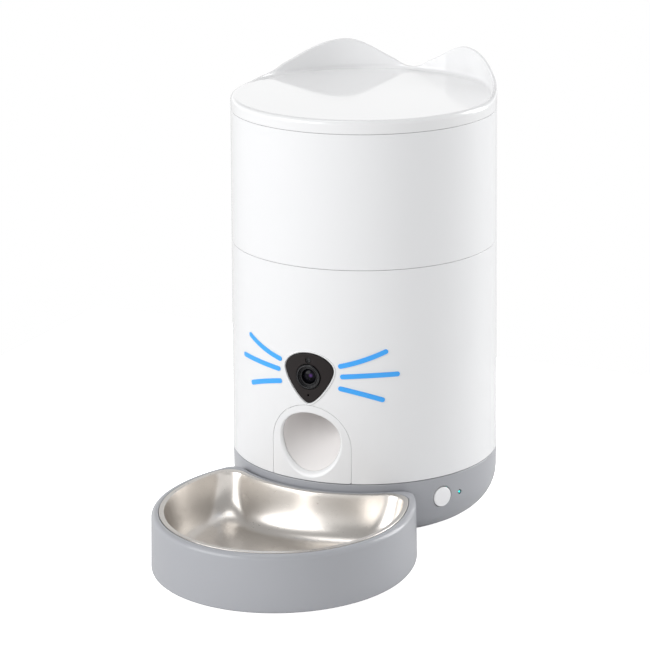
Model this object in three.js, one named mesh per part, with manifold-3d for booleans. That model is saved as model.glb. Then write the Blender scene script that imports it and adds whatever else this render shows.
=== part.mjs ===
// A pet feeder with a camera in its nose, in millimetres, +Z up, standing on the plane z = 0.
// The bowl is in front, towards -Y. Every shape is drawn round the upright axis of the round body,
// and the whole feeder is then moved back, so that its origin is the middle of its footprint.

import * as THREE from 'three';
import { mergeVertices } from 'three/addons/utils/BufferGeometryUtils.js';
import Module from 'manifold-3d';

const wasm = await Module();
wasm.setup();

// Clearances and the fineness of round shapes

const touchGap = 0.3;
const slideGap = 0.6;
const overrun = 2;
const weldDistance = 0.0001;
const largeSteps = 36;
const middleSteps = 16;
const smallSteps = 10;
const tinySteps = 8;

// Driving sizes of the body

const footHeight = 1;

const body = {
  baseRadius: 99.6,
  seamRadius: 100,
  topRadius: 97.85,
  baseHeight: 46.5,
  housingHeight: 160.8,
  tankHeight: 98.4,
  lidHeight: 9.8,
  wall: 2.8,
  seamGap: 0.5,
  lipHeight: 3.4,
  lipWall: 1.8,
  rimDepth: 6,
  rimSlope: 2,
};

const level = { floor: footHeight };
level.baseTop = level.floor + body.baseHeight;
level.housingTop = level.baseTop + body.housingHeight;
level.tankTop = level.housingTop + body.tankHeight;
level.lidTop = level.tankTop + body.lidHeight;

const base = {
  edgeRadius: 30,
  floor: 3,
  wall: 3,
  arcSteps: 3,
};

const ear = {
  azimuth: 149,
  height: 24.9,
  lowWall: 5.3,
  frontSpread: 44,
  backSpread: 31,
  riseStart: 85,
  riseEnd: 116,
  crestWall: 2,
  edgeRound: 3,
  fillet: 6,
  footRiseShare: 0.08,
  filletRiseShare: 0.28,
  crestEdgeRiseShare: 0.97,
  footDipShare: 0.083,
  filletDipShare: 0.125,
  innerDipShare: 0.25,
  crestDipShare: 0.5,
};

const lid = {
  dome: 0.6,
  steps: 40,
  skin: 2.6,
  linerThickness: 2,
  linerReach: 94.5,
  linerRise: 0.3,
  skirtRadius: 88,
  skirtWall: 2,
  skirtDepth: 8,
  stiffenerRadius: 60,
  stiffenerWall: 2,
  sealHeight: 4,
  sealDrop: 2,
};

const desiccant = {
  radius: 30,
  wall: 2,
  depth: 15,
  capRadius: 32.9,
  capGap: 0.9,
  capFloor: 2.2,
  capOverlap: 4,
  slotCount: 8,
  slotInner: 8.5,
  slotOuter: 22,
  slotWidth: 3,
  gripHeight: 4,
  gripWidth: 3,
  gripLength: 26,
};

const hopper = {
  radius: 92.5,
  wall: 2.3,
  flangeReach: 94.7,
  flangeThickness: 2.5,
  flangeDrop: 3,
  ledgeWidth: 2.2,
  ledgeDepth: 3,
  coneTop: 7.7,
  neckGap: 0.7,
  neckRise: 4,
  neckPlunge: 5,
  baffleInner: 20,
  baffleSpread: 46,
  baffleThickness: 2,
  baffleSteps: 5,
};

const deck = {
  depth: 40.3,
  flange: 2.5,
  chamberRadius: 60,
  chamberWall: 2.5,
  chamberHeight: 33.5,
  floor: 2.5,
  outletInset: 0.6,
  outletEdge: 4,
  outletGap: 5.2,
  shaftHole: 7.6,
  bossAzimuths: [62, 180, 298],
  bossRadius: 4,
  bossSunk: 1,
  bossLength: 30,
  screwRadius: 1.6,
  screwHead: 2.6,
  screwHeadHeight: 2,
  screwLength: 12,
};
level.deckTop = level.housingTop - deck.depth;
level.chamberFloor = level.deckTop - deck.chamberHeight;
level.deckUnder = level.chamberFloor - deck.floor;

const mouth = {
  radius: 22,
  height: 28.3,
  archHeight: 26.5,
  archMargin: 9.5,
  lipChamfer: 2.6,
  seam: 0.35,
};

const chute = {
  wall: 2,
  ceiling: 1.6,
  backDrop: 15,
  frontGap: 4,
  uTall: 120,
};

const nose = {
  halfWidth: 19.9,
  archGap: 1.1,
  rise: 12.2,
  drop: 25.2,
  topPullShare: 0.53,
  sideUpShare: 0.53,
  sideDownShare: 0.29,
  bottomPullShare: 0.31,
  proud: 0.8,
  depth: 4.2,
  flangeGrow: 3,
  flangeThickness: 1.6,
  curveSteps: 5,
};

// The nose stands just clear of the arch, and the camera and the whiskers keep their places beside it.
const noseRise = mouth.archHeight + mouth.radius + mouth.archMargin + nose.archGap + nose.drop;
const noseSide = level.baseTop + noseRise;

const camera = {
  sideDrop: 5.4,
  barrelRadius: 9.3,
  barrelFace: 8.2,
  barrelMouth: 7.6,
  glassRadius: 5.4,
  barrelProud: 1.8,
  barrelWall: 1.6,
  barrelLength: 20,
  funnelDepth: 4,
  glassSag: 1.8,
  glassDepth: 6,
  boardWidth: 30,
  boardThickness: 1.6,
  chipWidth: 11,
  chipThickness: 1.8,
  chipOffset: 7,
  postRadius: 2,
  postSpread: 12,
  postRise: 10.5,
  sensorRise: 12.5,
  sensorRadius: 2.3,
  sensorDepth: 8,
  micDrop: 13.9,
  micHole: 0.8,
  micRadius: 2.2,
  micDepth: 3,
};

const whisker = {
  width: 3.2,
  thickness: 0.4,
  stations: 6,
  names: ['upper', 'middle', 'lower'],
  innerAzimuths: [13.9, 14.7, 13.9],
  outerAzimuths: [34, 39, 32.6],
  innerRises: [4.5, -3.2, -11.8],
  outerRises: [16.3, -1.4, -21.1],
  sags: [-2.2, 1.2, 1.6],
};

const button = {
  azimuth: 58.8,
  height: 30.5,
  radius: 7.6,
  hole: 8.1,
  proud: 0.7,
  faceRound: 0.9,
  flangeRadius: 8.9,
  flangeThickness: 1.4,
  flangeSetback: 6.4,
  stemRadius: 2.4,
  travel: 1,
  boardSetback: 15,
  boardWidth: 40,
  boardHeight: 15,
  boardThickness: 1.6,
  boardShift: 5,
  switchWidth: 6,
  switchDepth: 3.4,
};

const light = {
  azimuth: 68.5,
  radius: 1.3,
  hole: 1.7,
  recess: 0.6,
};

const inlet = {
  height: 29,
  collarRadius: 5.5,
  flangeRadius: 7,
  flangeSetback: 2.4,
  boreRadius: 3.2,
  boreDepth: 9,
  pinRadius: 1,
  pinSetback: 2,
  length: 15,
  recess: 1,
};

const battery = {
  cellWidth: 34,
  cellCount: 3,
  cellLength: 62,
  cellHeight: 34.2,
  wall: 2,
  centre: 8,
  lip: 4,
  doorThickness: 1.6,
  doorTravel: 4,
  hookWidth: 12,
  hookReach: 3,
  hookThickness: 2,
  hookSpread: 34,
  gripLength: 24,
  gripWidth: 5,
  gripDepth: 0.7,
  contactRadius: 5,
  contactWire: 0.9,
  contactDepth: 4,
  contactPlate: 0.6,
  postRadius: 3,
  postHeight: 4,
  postInset: 8,
};

const board = {
  width: 92,
  depth: 52,
  thickness: 1.6,
  moduleSize: [18, 24, 3.2],
  chipSize: [12, 12, 1.4],
  plugSize: [16, 6, 7],
  capRadius: 4,
  capHeight: 10,
};

const speaker = {
  radius: 19,
  centre: 49,
  frameHeight: 4,
  basketRadius: 13,
  basketHeight: 8,
  magnetRadius: 10,
  magnetHeight: 6,
  coneRadius: 16,
  coneDepth: 5,
  slotCount: 5,
  slotWidth: 2.4,
  slotPitch: 6,
  slotLength: 24,
};

const foot = {
  radius: 6.5,
  sunk: 1.4,
  circle: 62,
  azimuths: [30, 330, 156, 204],
};

const gear = {
  module: 1.5,
  wheelTeeth: 24,
  pinionTeeth: 8,
  rootHalfShare: 0.86,
  tipHalfShare: 0.3,
  dedendumShare: 1.25,
  wheelHeight: 6,
  outputHeight: 7,
  levelGap: 1.4,
  hubGap: 2.4,
  idlerPin: 1.5,
  idlerBore: 1.8,
  shaftRadius: 4,
  shaftFlat: 3,
  pinionShaft: 1.5,
};
const wheelRadius = gear.module * gear.wheelTeeth / 2;
const pinionRadius = gear.module * gear.pinionTeeth / 2;
const gearSpacing = wheelRadius + pinionRadius;

const gearbox = {
  wall: 2,
  floor: 2,
  cover: 2,
  clearance: 1.3,
  height: 22,
  bearingHeight: 1.6,
  bearingWall: 1.5,
};
level.coverTop = level.deckUnder - touchGap;
level.coverUnder = level.coverTop - gearbox.cover;
level.boxTop = level.coverUnder - touchGap;
level.boxFloor = level.boxTop - gearbox.height;
level.wheelUnder = level.boxFloor + gearbox.floor + gear.hubGap;
level.wheelTop = level.wheelUnder + gear.wheelHeight;
level.outputUnder = level.wheelTop + gear.levelGap;
level.outputTop = level.outputUnder + gear.outputHeight;

const motor = {
  radius: 13.8,
  length: 37,
  tailRadius: 4,
  tailLength: 2,
  shaftHole: 1.9,
  shaftPlunge: 3,
  flatHalfWidth: 10.6,
};

const rotor = {
  hubRadius: 12,
  hubTopRadius: 4,
  hubRise: 8,
  vaneCount: 6,
  vaneGap: 9,
  vaneThickness: 2.4,
  vaneHeight: 24,
  floorGap: 1.4,
  tipGap: 1.2,
  tipThickness: 1.6,
  collarWidth: 4,
  shaftRise: 18,
};

// What turns or hangs in the chamber follows its wall, and the outlet follows the chute's width.
const vaneReach = deck.chamberRadius - rotor.vaneGap;
const tipReach = deck.chamberRadius - rotor.tipGap;
const neckRadius = deck.chamberRadius - hopper.neckGap;
const outletFront = deck.chamberRadius - deck.outletEdge;
const boxReach = wheelRadius + gear.module + gearbox.clearance + gearbox.wall;
const outletBack = boxReach + deck.outletGap;
const outletHalfWidth = mouth.radius - deck.outletInset;

const bush = {
  outer: 7.2,
  inner: 4.3,
  flange: 9.4,
  flangeThickness: 1,
};

const tray = {
  halfWidth: 93.8,
  widestReach: 45,
  frontReach: 98.2,
  backReach: 110,
  bodyGap: 0.6,
  corner: 5,
  height: 42,
  draft: 0.9,
  bottomEdge: 2.4,
  rimRound: 3.4,
  rimWidth: 6.2,
  rimDip: 0.3,
  wall: 2.4,
  ledgeDepth: 1,
  ledgeWidth: 3.4,
  pocketGap: 0.7,
  backSteps: 3,
  cornerSteps: 3,
  sideSteps: 4,
  frontSteps: 5,
  tongueWidth: 14,
  tongueThickness: 4,
  tongueHeight: 12,
  tongueReach: 17.5,
  tongueSpread: 30,
  footRadius: 5,
  footSunk: 1,
  footBoss: 6.6,
  footSpread: 42,
  footFront: 92,
  footBack: 44,
};

const bowl = {
  steel: 0.9,
  lipRound: 0.7,
  flangeWidth: 3,
  depth: 33,
  wallShares: [[0.03, 0.02], [0.17, 0.46], [0.42, 0.87], [1, 1]],
  wallRun: 19,
  corner: 14,
  cornerShares: [0, 0.25, 0.6, 1],
  cornerGrow: 6,
};

const cable = {
  radius: 1.4,
  aside: 38,
  back: 62,
  drop: 22,
  tail: 10,
  facets: 3,
};

// Reading the sizes

function radiusAt(height) {
  const share = (height - level.baseTop) / (level.tankTop - level.baseTop);
  return body.seamRadius + (body.topRadius - body.seamRadius) * share;
}

function radians(degrees) {
  return THREE.MathUtils.degToRad(degrees);
}

function around(azimuth, radius, height) {
  const angle = radians(azimuth);
  return new THREE.Vector3(radius * Math.sin(angle), -radius * Math.cos(angle), height);
}

// Joining and cutting

function solidOf(geometry) {
  const bare = new THREE.BufferGeometry();
  bare.setAttribute('position', geometry.getAttribute('position'));
  bare.setIndex(geometry.getIndex());
  const merged = mergeVertices(bare, weldDistance);
  const corners = merged.getIndex().array;
  const places = Float32Array.from(merged.getAttribute('position').array);
  const faces = [];
  const a = new THREE.Vector3();
  const b = new THREE.Vector3();
  const c = new THREE.Vector3();
  let volume = 0;
  for (let i = 0; i < corners.length; i += 3) {
    const [p, q, r] = corners.subarray(i, i + 3);
    if (p === q || q === r || r === p) continue;
    faces.push([p, q, r]);
    a.fromArray(places, p * 3);
    b.fromArray(places, q * 3);
    c.fromArray(places, r * 3);
    volume += a.dot(b.cross(c));
  }
  const outward = volume > 0 ? faces : faces.map(([p, q, r]) => [p, r, q]);
  const triVerts = Uint32Array.from(outward.flat());
  return new wasm.Manifold(new wasm.Mesh({ numProp: 3, vertProperties: places, triVerts }));
}

function geometryOf(solid) {
  const mesh = solid.getMesh();
  const geometry = new THREE.BufferGeometry();
  geometry.setAttribute('position', new THREE.BufferAttribute(Float32Array.from(mesh.vertProperties), 3));
  geometry.setIndex(new THREE.BufferAttribute(Uint32Array.from(mesh.triVerts), 1));
  return geometry;
}

function join(first, ...others) {
  return geometryOf(others.reduce((sum, next) => sum.add(solidOf(next)), solidOf(first)));
}

function cut(first, ...others) {
  return geometryOf(others.reduce((rest, next) => rest.subtract(solidOf(next)), solidOf(first)));
}

function common(first, second) {
  return geometryOf(solidOf(first).intersect(solidOf(second)));
}

// Basic forms

// Turns a closed profile of [radius, height] points round the upright axis.
function turned(profile, steps = largeSteps) {
  const points = profile.map(([radius, height]) => new THREE.Vector2(radius, height));
  if (points[0].x > 0 || points.at(-1).x > 0) points.push(points[0].clone());
  return new THREE.LatheGeometry(points, steps).rotateX(Math.PI / 2);
}

// Turns a closed profile of [radius, y] points round a level axis that runs from front to back.
function turnedAlongY(profile, height, steps = middleSteps) {
  const points = profile.map(([radius, y]) => new THREE.Vector2(radius, y));
  if (points[0].x > 0 || points.at(-1).x > 0) points.push(points[0].clone());
  return new THREE.LatheGeometry(points, steps).translate(0, 0, height);
}

function arc(centre, radius, fromAngle, toAngle, steps) {
  return Array.from({ length: steps + 1 }, (_, i) => {
    const angle = radians(fromAngle + (toAngle - fromAngle) * i / steps);
    return [centre[0] + radius * Math.cos(angle), centre[1] + radius * Math.sin(angle)];
  });
}

// A block between two corners.
function block(low, high) {
  const size = low.map((value, i) => high[i] - value);
  const middle = low.map((value, i) => (high[i] + value) / 2);
  return new THREE.BoxGeometry(...size).translate(...middle);
}

// A round post from one height to another.
function post(radius, x, y, bottom, top, steps = smallSteps) {
  const geometry = new THREE.CylinderGeometry(radius, radius, top - bottom, steps);
  return geometry.rotateX(Math.PI / 2).translate(x, y, (bottom + top) / 2);
}

// A round bar along Y.
function barAlongY(radius, x, z, front, back, steps = smallSteps) {
  const geometry = new THREE.CylinderGeometry(radius, radius, back - front, steps);
  return geometry.translate(x, (front + back) / 2, z);
}

// Pushes an outline in the X-Z plane from y = front to y = back.
function pushedAlongY(shape, front, back, curveSegments = smallSteps) {
  const settings = { depth: back - front, bevelEnabled: false, curveSegments };
  return new THREE.ExtrudeGeometry(shape, settings).rotateX(Math.PI / 2).translate(0, back, 0);
}

// Pushes an outline in the Y-Z plane to both sides of x = 0.
function pushedAlongX(shape, halfWidth) {
  const settings = { depth: halfWidth * 2, bevelEnabled: false };
  const geometry = new THREE.ExtrudeGeometry(shape, settings);
  const turn = new THREE.Matrix4().makeBasis(
    new THREE.Vector3(0, 1, 0), new THREE.Vector3(0, 0, 1), new THREE.Vector3(1, 0, 0),
  );
  return geometry.applyMatrix4(turn).translate(-halfWidth, 0, 0);
}

// Pushes an outline in the X-Y plane from one height to another.
function pushedUp(shape, bottom, top, curveSegments = smallSteps) {
  const settings = { depth: top - bottom, bevelEnabled: false, curveSegments };
  return new THREE.ExtrudeGeometry(shape, settings).translate(0, 0, bottom);
}

function outline(points) {
  return new THREE.Shape(points.map(([x, y]) => new THREE.Vector2(x, y)));
}

// Puts a form drawn on the upright axis at an azimuth of the body, its own +Z facing outwards.
function facingOut(geometry, azimuth, height) {
  const outward = around(azimuth, 1, 0);
  const up = new THREE.Vector3(0, 0, 1);
  const side = new THREE.Vector3().crossVectors(up, outward);
  const turn = new THREE.Matrix4().makeBasis(side, up, outward);
  return geometry.applyMatrix4(turn).translate(0, 0, height);
}

// A closed skin through rings with one number of points. A ring of one point closes an end there,
// and any other end ring gets a flat cap.
function lofted(rings) {
  const places = rings.flat();
  const starts = rings.map((_, i) => rings.slice(0, i).reduce((sum, ring) => sum + ring.length, 0));
  const faces = [];
  for (let i = 0; i + 1 < rings.length; i += 1) {
    const count = Math.max(rings[i].length, rings[i + 1].length);
    const near = (k) => starts[i] + k % rings[i].length;
    const far = (k) => starts[i + 1] + k % rings[i + 1].length;
    for (let k = 0; k < count; k += 1) {
      if (rings[i].length > 1) faces.push([near(k), near(k + 1), far(k)]);
      if (rings[i + 1].length > 1) faces.push([near(k + 1), far(k + 1), far(k)]);
    }
  }
  capFaces(rings[0]).forEach((face) => faces.push(face.map((k) => starts[0] + k).reverse()));
  capFaces(rings.at(-1)).forEach((face) => faces.push(face.map((k) => starts.at(-1) + k)));
  const geometry = new THREE.BufferGeometry().setFromPoints(places);
  geometry.setIndex(faces.flat());
  return geometry;
}

// The triangles that close a ring, running the same way round as the ring does.
function capFaces(ring) {
  if (ring.length === 1) return [];
  const flat = ring.map((p) => new THREE.Vector2(p.x, p.y));
  const faces = THREE.ShapeUtils.triangulateShape(flat, []);
  const area = (points) => THREE.ShapeUtils.area(points);
  const sameWay = area(flat) * area(faces[0].map((k) => flat[k])) > 0;
  return sameWay ? faces : faces.map((face) => face.slice().reverse());
}

// Materials

function finish(color, roughness, metalness = 0) {
  return new THREE.MeshStandardMaterial({ color, roughness, metalness });
}

const whitePlastic = finish(0xf0f0f2, 0.3);
const innerPlastic = finish(0xe4e5e6, 0.5);
const greyPlastic = finish(0x9a9da5, 0.38);
const blackPlastic = finish(0x2e2a2a, 0.3);
const steel = finish(0xc9c6c2, 0.18, 1);
const silicone = finish(0xd8dadc, 0.7);
const rubber = finish(0x3b3c3e, 0.85);
const glass = finish(0x141020, 0.05);
const smokedPlastic = finish(0x1a1418, 0.15);
const bluePrint = finish(0x44a6ff, 0.45);
const lightPipe = finish(0x6fd0d8, 0.2);
const circuitGreen = finish(0x1f5a3c, 0.5);
const acetal = finish(0xe9e4d6, 0.45);
const motorSteel = finish(0xa8abae, 0.35, 1);
const sprungSteel = finish(0xb9babc, 0.3, 1);
const speakerBlack = finish(0x222325, 0.6);

function part(name, geometry, material) {
  const mesh = new THREE.Mesh(geometryOf(solidOf(geometry)), material);
  mesh.name = name;
  return mesh;
}

// Base: the grey bowl-shaped shell that everything stands on

// The lip inside a seam that centres the upper piece on the lower one.
function seamLip(height) {
  const outer = radiusAt(height) - body.wall - touchGap;
  return { outer, inner: outer - body.lipWall };
}

function baseShellProfile() {
  const centre = [body.baseRadius - base.edgeRadius, level.floor + base.edgeRadius];
  const top = level.baseTop - body.seamGap / 2;
  const lip = seamLip(level.baseTop);
  const inner = arc(centre, base.edgeRadius - base.wall, 0, -90, base.arcSteps);
  return [
    [0, level.floor],
    ...arc(centre, base.edgeRadius, -90, 0, base.arcSteps),
    [radiusAt(level.baseTop), top],
    [lip.outer, top],
    [lip.outer, level.baseTop + body.lipHeight],
    [lip.inner, level.baseTop + body.lipHeight],
    [lip.inner, level.baseTop - body.rimDepth],
    [body.baseRadius - base.wall, level.baseTop - body.rimDepth - body.rimSlope],
    ...inner,
    [0, level.floor + base.floor],
  ];
}

const batteryBay = {
  width: battery.cellWidth * battery.cellCount,
  front: battery.centre - battery.cellLength / 2,
  back: battery.centre + battery.cellLength / 2,
  bottom: level.floor + base.floor + touchGap,
};
batteryBay.top = level.floor + base.floor + battery.cellHeight;

function batteryDoorRecess() {
  const halfWidth = batteryBay.width / 2 + battery.lip + touchGap;
  const depth = battery.doorThickness + touchGap;
  return block(
    [-halfWidth, batteryBay.front - battery.lip - touchGap, level.floor - overrun],
    [halfWidth, batteryBay.back + battery.lip + battery.doorTravel + slideGap, level.floor + depth],
  );
}

function batteryHatch() {
  return block(
    [-batteryBay.width / 2, batteryBay.front, level.floor - overrun],
    [batteryBay.width / 2, batteryBay.back, level.floor + base.floor + overrun],
  );
}

function footPad(x, y, radius, sunk) {
  return post(radius, x, y, 0, level.floor + sunk);
}

function footPlaces() {
  return foot.azimuths.map((azimuth) => around(azimuth, foot.circle, 0));
}

function footRecesses() {
  return footPlaces().map(({ x, y }) => (
    post(foot.radius + touchGap, x, y, level.floor - overrun, level.floor + foot.sunk + touchGap)
  ));
}

function speakerSlots() {
  return Array.from({ length: speaker.slotCount }, (_, i) => {
    const middle = (i - (speaker.slotCount - 1) / 2) * speaker.slotPitch;
    return block(
      [middle - speaker.slotWidth / 2, -speaker.centre - speaker.slotLength / 2, level.floor - overrun],
      [middle + speaker.slotWidth / 2, -speaker.centre + speaker.slotLength / 2, level.floor + base.floor + overrun],
    );
  });
}

// The slots in the base's front wall that the tray's two tongues slide into.
function tongueSlots() {
  return [-1, 1].map((side) => block(
    [
      side * tray.tongueSpread - tray.tongueWidth / 2 - slideGap,
      -body.seamRadius - overrun,
      level.floor + tray.tongueHeight - slideGap,
    ],
    [
      side * tray.tongueSpread + tray.tongueWidth / 2 + slideGap,
      -body.seamRadius * Math.SQRT1_2,
      level.floor + tray.tongueHeight + tray.tongueThickness + slideGap,
    ],
  ));
}

// The lip gives way to the chute behind the mouth.
function lipNotch() {
  const halfWidth = mouth.radius + mouth.archMargin;
  return block(
    [-halfWidth, -body.seamRadius, level.baseTop - body.seamGap / 2],
    [halfWidth, -body.seamRadius * Math.SQRT1_2, level.baseTop + body.lipHeight + overrun],
  );
}

function holeFacingOut(radius, azimuth, height, depth) {
  const hole = post(radius, 0, 0, body.seamRadius - depth, body.seamRadius + overrun, middleSteps);
  return facingOut(hole, azimuth, height);
}

function baseShell() {
  const wallDepth = base.wall + body.rimDepth;
  return cut(
    join(turned(baseShellProfile()), buttonBracket()),
    batteryDoorRecess(),
    batteryHatch(),
    ...footRecesses(),
    ...speakerSlots(),
    ...tongueSlots(),
    lipNotch(),
    holeFacingOut(button.hole, button.azimuth, level.floor + button.height, wallDepth),
    holeFacingOut(light.hole, light.azimuth, level.floor + button.height, wallDepth),
    holeFacingOut(inlet.collarRadius + touchGap, 180, level.floor + inlet.height, wallDepth),
  );
}

// Battery bay: an upside-down box on the base's floor, closed from below by a door that slides

function batteryBox() {
  const halfWidth = batteryBay.width / 2 + battery.wall;
  const front = batteryBay.front - battery.hookReach - battery.wall - slideGap;
  const back = batteryBay.back + battery.wall;
  const top = batteryBay.top + battery.wall;
  const outer = block([-halfWidth, front, batteryBay.bottom], [halfWidth, back, top]);
  const inner = block(
    [-batteryBay.width / 2, front + battery.wall, batteryBay.bottom - overrun],
    [batteryBay.width / 2, batteryBay.back, batteryBay.top],
  );
  return cut(join(outer, ...boardPosts(top)), inner);
}

function boardPostPlaces() {
  const x = board.width / 2 - battery.postInset;
  const y = board.depth / 2 - battery.postInset;
  return [[-x, -y], [x, -y], [x, y], [-x, y]].map(([dx, dy]) => [dx, battery.centre + dy]);
}

function boardPosts(top) {
  const end = top + battery.postHeight;
  return boardPostPlaces().map(([x, y]) => post(battery.postRadius, x, y, top - battery.wall / 2, end, tinySteps));
}

function batteryDoor() {
  const bottom = level.floor;
  const top = bottom + battery.doorThickness;
  const halfWidth = batteryBay.width / 2 + battery.lip;
  const plate = block(
    [-halfWidth, batteryBay.front - battery.lip, bottom],
    [halfWidth, batteryBay.back + battery.lip, top],
  );
  const grip = block(
    [-battery.gripLength / 2, batteryBay.front - battery.lip / 2, bottom - overrun],
    [battery.gripLength / 2, batteryBay.front - battery.lip / 2 + battery.gripWidth, bottom + battery.gripDepth],
  );
  const hooks = [-1, 1].flatMap((side) => doorHook(side * battery.hookSpread, top));
  return cut(join(plate, ...hooks), grip);
}

// A hook that stands up through the hatch and reaches forward over the base's floor.
function doorHook(middle, plateTop) {
  const low = middle - battery.hookWidth / 2;
  const high = middle + battery.hookWidth / 2;
  const near = batteryBay.front + touchGap;
  const seat = level.floor + base.floor + touchGap;
  return [
    block([low, near, plateTop - battery.doorThickness / 2], [high, near + battery.hookThickness, seat + battery.hookThickness]),
    block([low, near - battery.hookReach, seat], [high, near + battery.hookThickness, seat + battery.hookThickness]),
  ];
}

// A strip across the bay's back wall, with a cone spring in front of each cell.
function batteryContacts() {
  const back = batteryBay.back - touchGap;
  const middle = (batteryBay.bottom + batteryBay.top) / 2;
  const half = battery.contactRadius + battery.contactWire;
  const reach = battery.cellWidth * (battery.cellCount - 1) / 2 + half;
  const strip = block([-reach, back - battery.contactPlate, middle - half], [reach, back, middle + half]);
  const front = back - battery.contactPlate - battery.contactDepth;
  return join(strip, ...Array.from({ length: battery.cellCount }, (_, i) => turnedAlongY([
    [0, back - battery.contactPlate / 2],
    [battery.contactRadius, back - battery.contactPlate / 2],
    [battery.contactRadius / 2, front],
    [0, front],
  ], middle, tinySteps).translate((i - (battery.cellCount - 1) / 2) * battery.cellWidth, 0, 0)));
}

// Electronics

function mainBoard() {
  const bottom = batteryBay.top + battery.wall + battery.postHeight + touchGap;
  const top = bottom + board.thickness;
  const y = battery.centre;
  const plate = block(
    [-board.width / 2, y - board.depth / 2, bottom],
    [board.width / 2, y + board.depth / 2, top],
  );
  const onTop = (x, dy, [width, depth, height]) => block(
    [x - width / 2, y + dy - depth / 2, top - board.thickness / 2],
    [x + width / 2, y + dy + depth / 2, top + height],
  );
  return join(
    plate,
    onTop(-board.width / 4, 0, board.moduleSize),
    onTop(board.width / 8, 0, board.chipSize),
    onTop(board.width / 4, board.depth / 3, board.plugSize),
    onTop(-board.width / 8, board.depth / 3, board.plugSize),
    post(board.capRadius, board.width / 3, y - board.depth / 5, top - board.thickness / 2, top + board.capHeight),
  );
}

function speakerUnit() {
  const seat = level.floor + base.floor + touchGap;
  const rim = seat + speaker.frameHeight;
  const shoulder = rim + speaker.basketHeight;
  return turned([
    [0, seat + speaker.coneDepth],
    [speaker.coneRadius, seat + speaker.frameHeight / 4],
    [speaker.coneRadius, seat],
    [speaker.radius, seat],
    [speaker.radius, rim],
    [speaker.basketRadius, shoulder],
    [speaker.magnetRadius, shoulder],
    [speaker.magnetRadius, shoulder + speaker.magnetHeight],
    [0, shoulder + speaker.magnetHeight],
  ], smallSteps).translate(0, -speaker.centre, 0);
}

function powerInlet() {
  const face = radiusAt(level.baseTop) - inlet.recess;
  const wallInside = body.baseRadius - base.wall - touchGap;
  const end = face - inlet.length;
  const boreEnd = face - inlet.boreDepth;
  return turnedAlongY([
    [0, end],
    [inlet.flangeRadius, end],
    [inlet.flangeRadius, wallInside - inlet.flangeSetback],
    [inlet.collarRadius, wallInside - inlet.flangeSetback],
    [inlet.collarRadius, face],
    [inlet.boreRadius, face],
    [inlet.boreRadius, boreEnd],
    [inlet.pinRadius, boreEnd],
    [inlet.pinRadius, face - inlet.pinSetback],
    [0, face - inlet.pinSetback],
  ], level.floor + inlet.height, smallSteps);
}

// Feed button, its switch board and the light pipe, drawn upright and then faced outwards

function feedButton() {
  const wallOutside = body.baseRadius;
  const face = wallOutside + button.proud;
  const flangeTop = wallOutside - button.flangeSetback;
  const flangeUnder = flangeTop - button.flangeThickness;
  const stemEnd = wallOutside - button.boardSetback + button.switchDepth + touchGap;
  const cap = turned([
    [0, face],
    [button.radius - button.faceRound * 2, face - button.faceRound / 4],
    [button.radius, face - button.faceRound],
    [button.radius, flangeTop],
    [button.flangeRadius, flangeTop],
    [button.flangeRadius, flangeUnder],
    [button.stemRadius, flangeUnder],
    [button.stemRadius, stemEnd],
    [0, stemEnd],
  ], middleSteps);
  return facingOut(cap, button.azimuth, level.floor + button.height);
}

function buttonBoard() {
  const top = body.baseRadius - button.boardSetback;
  const low = -button.boardWidth / 2 + button.boardShift;
  const plate = block(
    [low, -button.boardHeight / 2, top - button.boardThickness],
    [low + button.boardWidth, button.boardHeight / 2, top],
  );
  const half = button.switchWidth / 2;
  const tactile = block([-half, -half, top - button.boardThickness / 2], [half, half, top + button.switchDepth - button.travel]);
  return facingOut(join(plate, tactile), button.azimuth, level.floor + button.height);
}

// A post on the base's round edge that holds the button's board from below.
function buttonBracket() {
  const top = level.floor + button.height - button.boardHeight / 2 - touchGap;
  const radius = body.baseRadius - button.boardSetback - button.boardThickness / 2;
  const place = around(button.azimuth, radius, 0);
  const fromArc = radius - (body.baseRadius - base.edgeRadius);
  const middle = base.edgeRadius - base.wall / 2;
  const skin = level.floor + base.edgeRadius - Math.sqrt(middle ** 2 - fromArc ** 2);
  return post(battery.postRadius, place.x, place.y, skin + base.wall / 3, top, tinySteps);
}

function statusLight() {
  const apart = radians(light.azimuth - button.azimuth);
  const boardPlane = body.baseRadius - button.boardSetback + touchGap * 2;
  const inner = boardPlane / Math.cos(apart);
  const pipe = post(light.radius, 0, 0, inner, body.baseRadius - light.recess, smallSteps);
  return facingOut(pipe, light.azimuth, level.floor + button.height);
}

// Lower housing: the white shell with the nose, the mouth and the works inside

function noseShape(grow) {
  const width = nose.halfWidth + grow;
  const side = noseSide;
  const top = side + nose.rise + grow;
  const bottom = side - nose.drop - grow;
  const shape = new THREE.Shape();
  const topPull = width * nose.topPullShare;
  const sideUp = side + (top - side) * nose.sideUpShare;
  const sideDown = side - (side - bottom) * nose.sideDownShare;
  const bottomPull = width * nose.bottomPullShare;
  shape.moveTo(0, top);
  shape.bezierCurveTo(-topPull, top, -width, sideUp, -width, side);
  shape.bezierCurveTo(-width, sideDown, -bottomPull, bottom, 0, bottom);
  shape.bezierCurveTo(bottomPull, bottom, width, sideDown, width, side);
  shape.bezierCurveTo(width, sideUp, topPull, top, 0, top);
  return shape;
}

function archShape(grow) {
  const radius = mouth.radius + mouth.archMargin + grow;
  const middle = level.baseTop + mouth.archHeight;
  const shape = new THREE.Shape();
  shape.moveTo(-radius, level.baseTop - overrun);
  shape.lineTo(radius, level.baseTop - overrun);
  shape.lineTo(radius, middle);
  shape.absarc(0, middle, radius, 0, Math.PI, false);
  shape.lineTo(-radius, level.baseTop - overrun);
  return shape;
}

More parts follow.
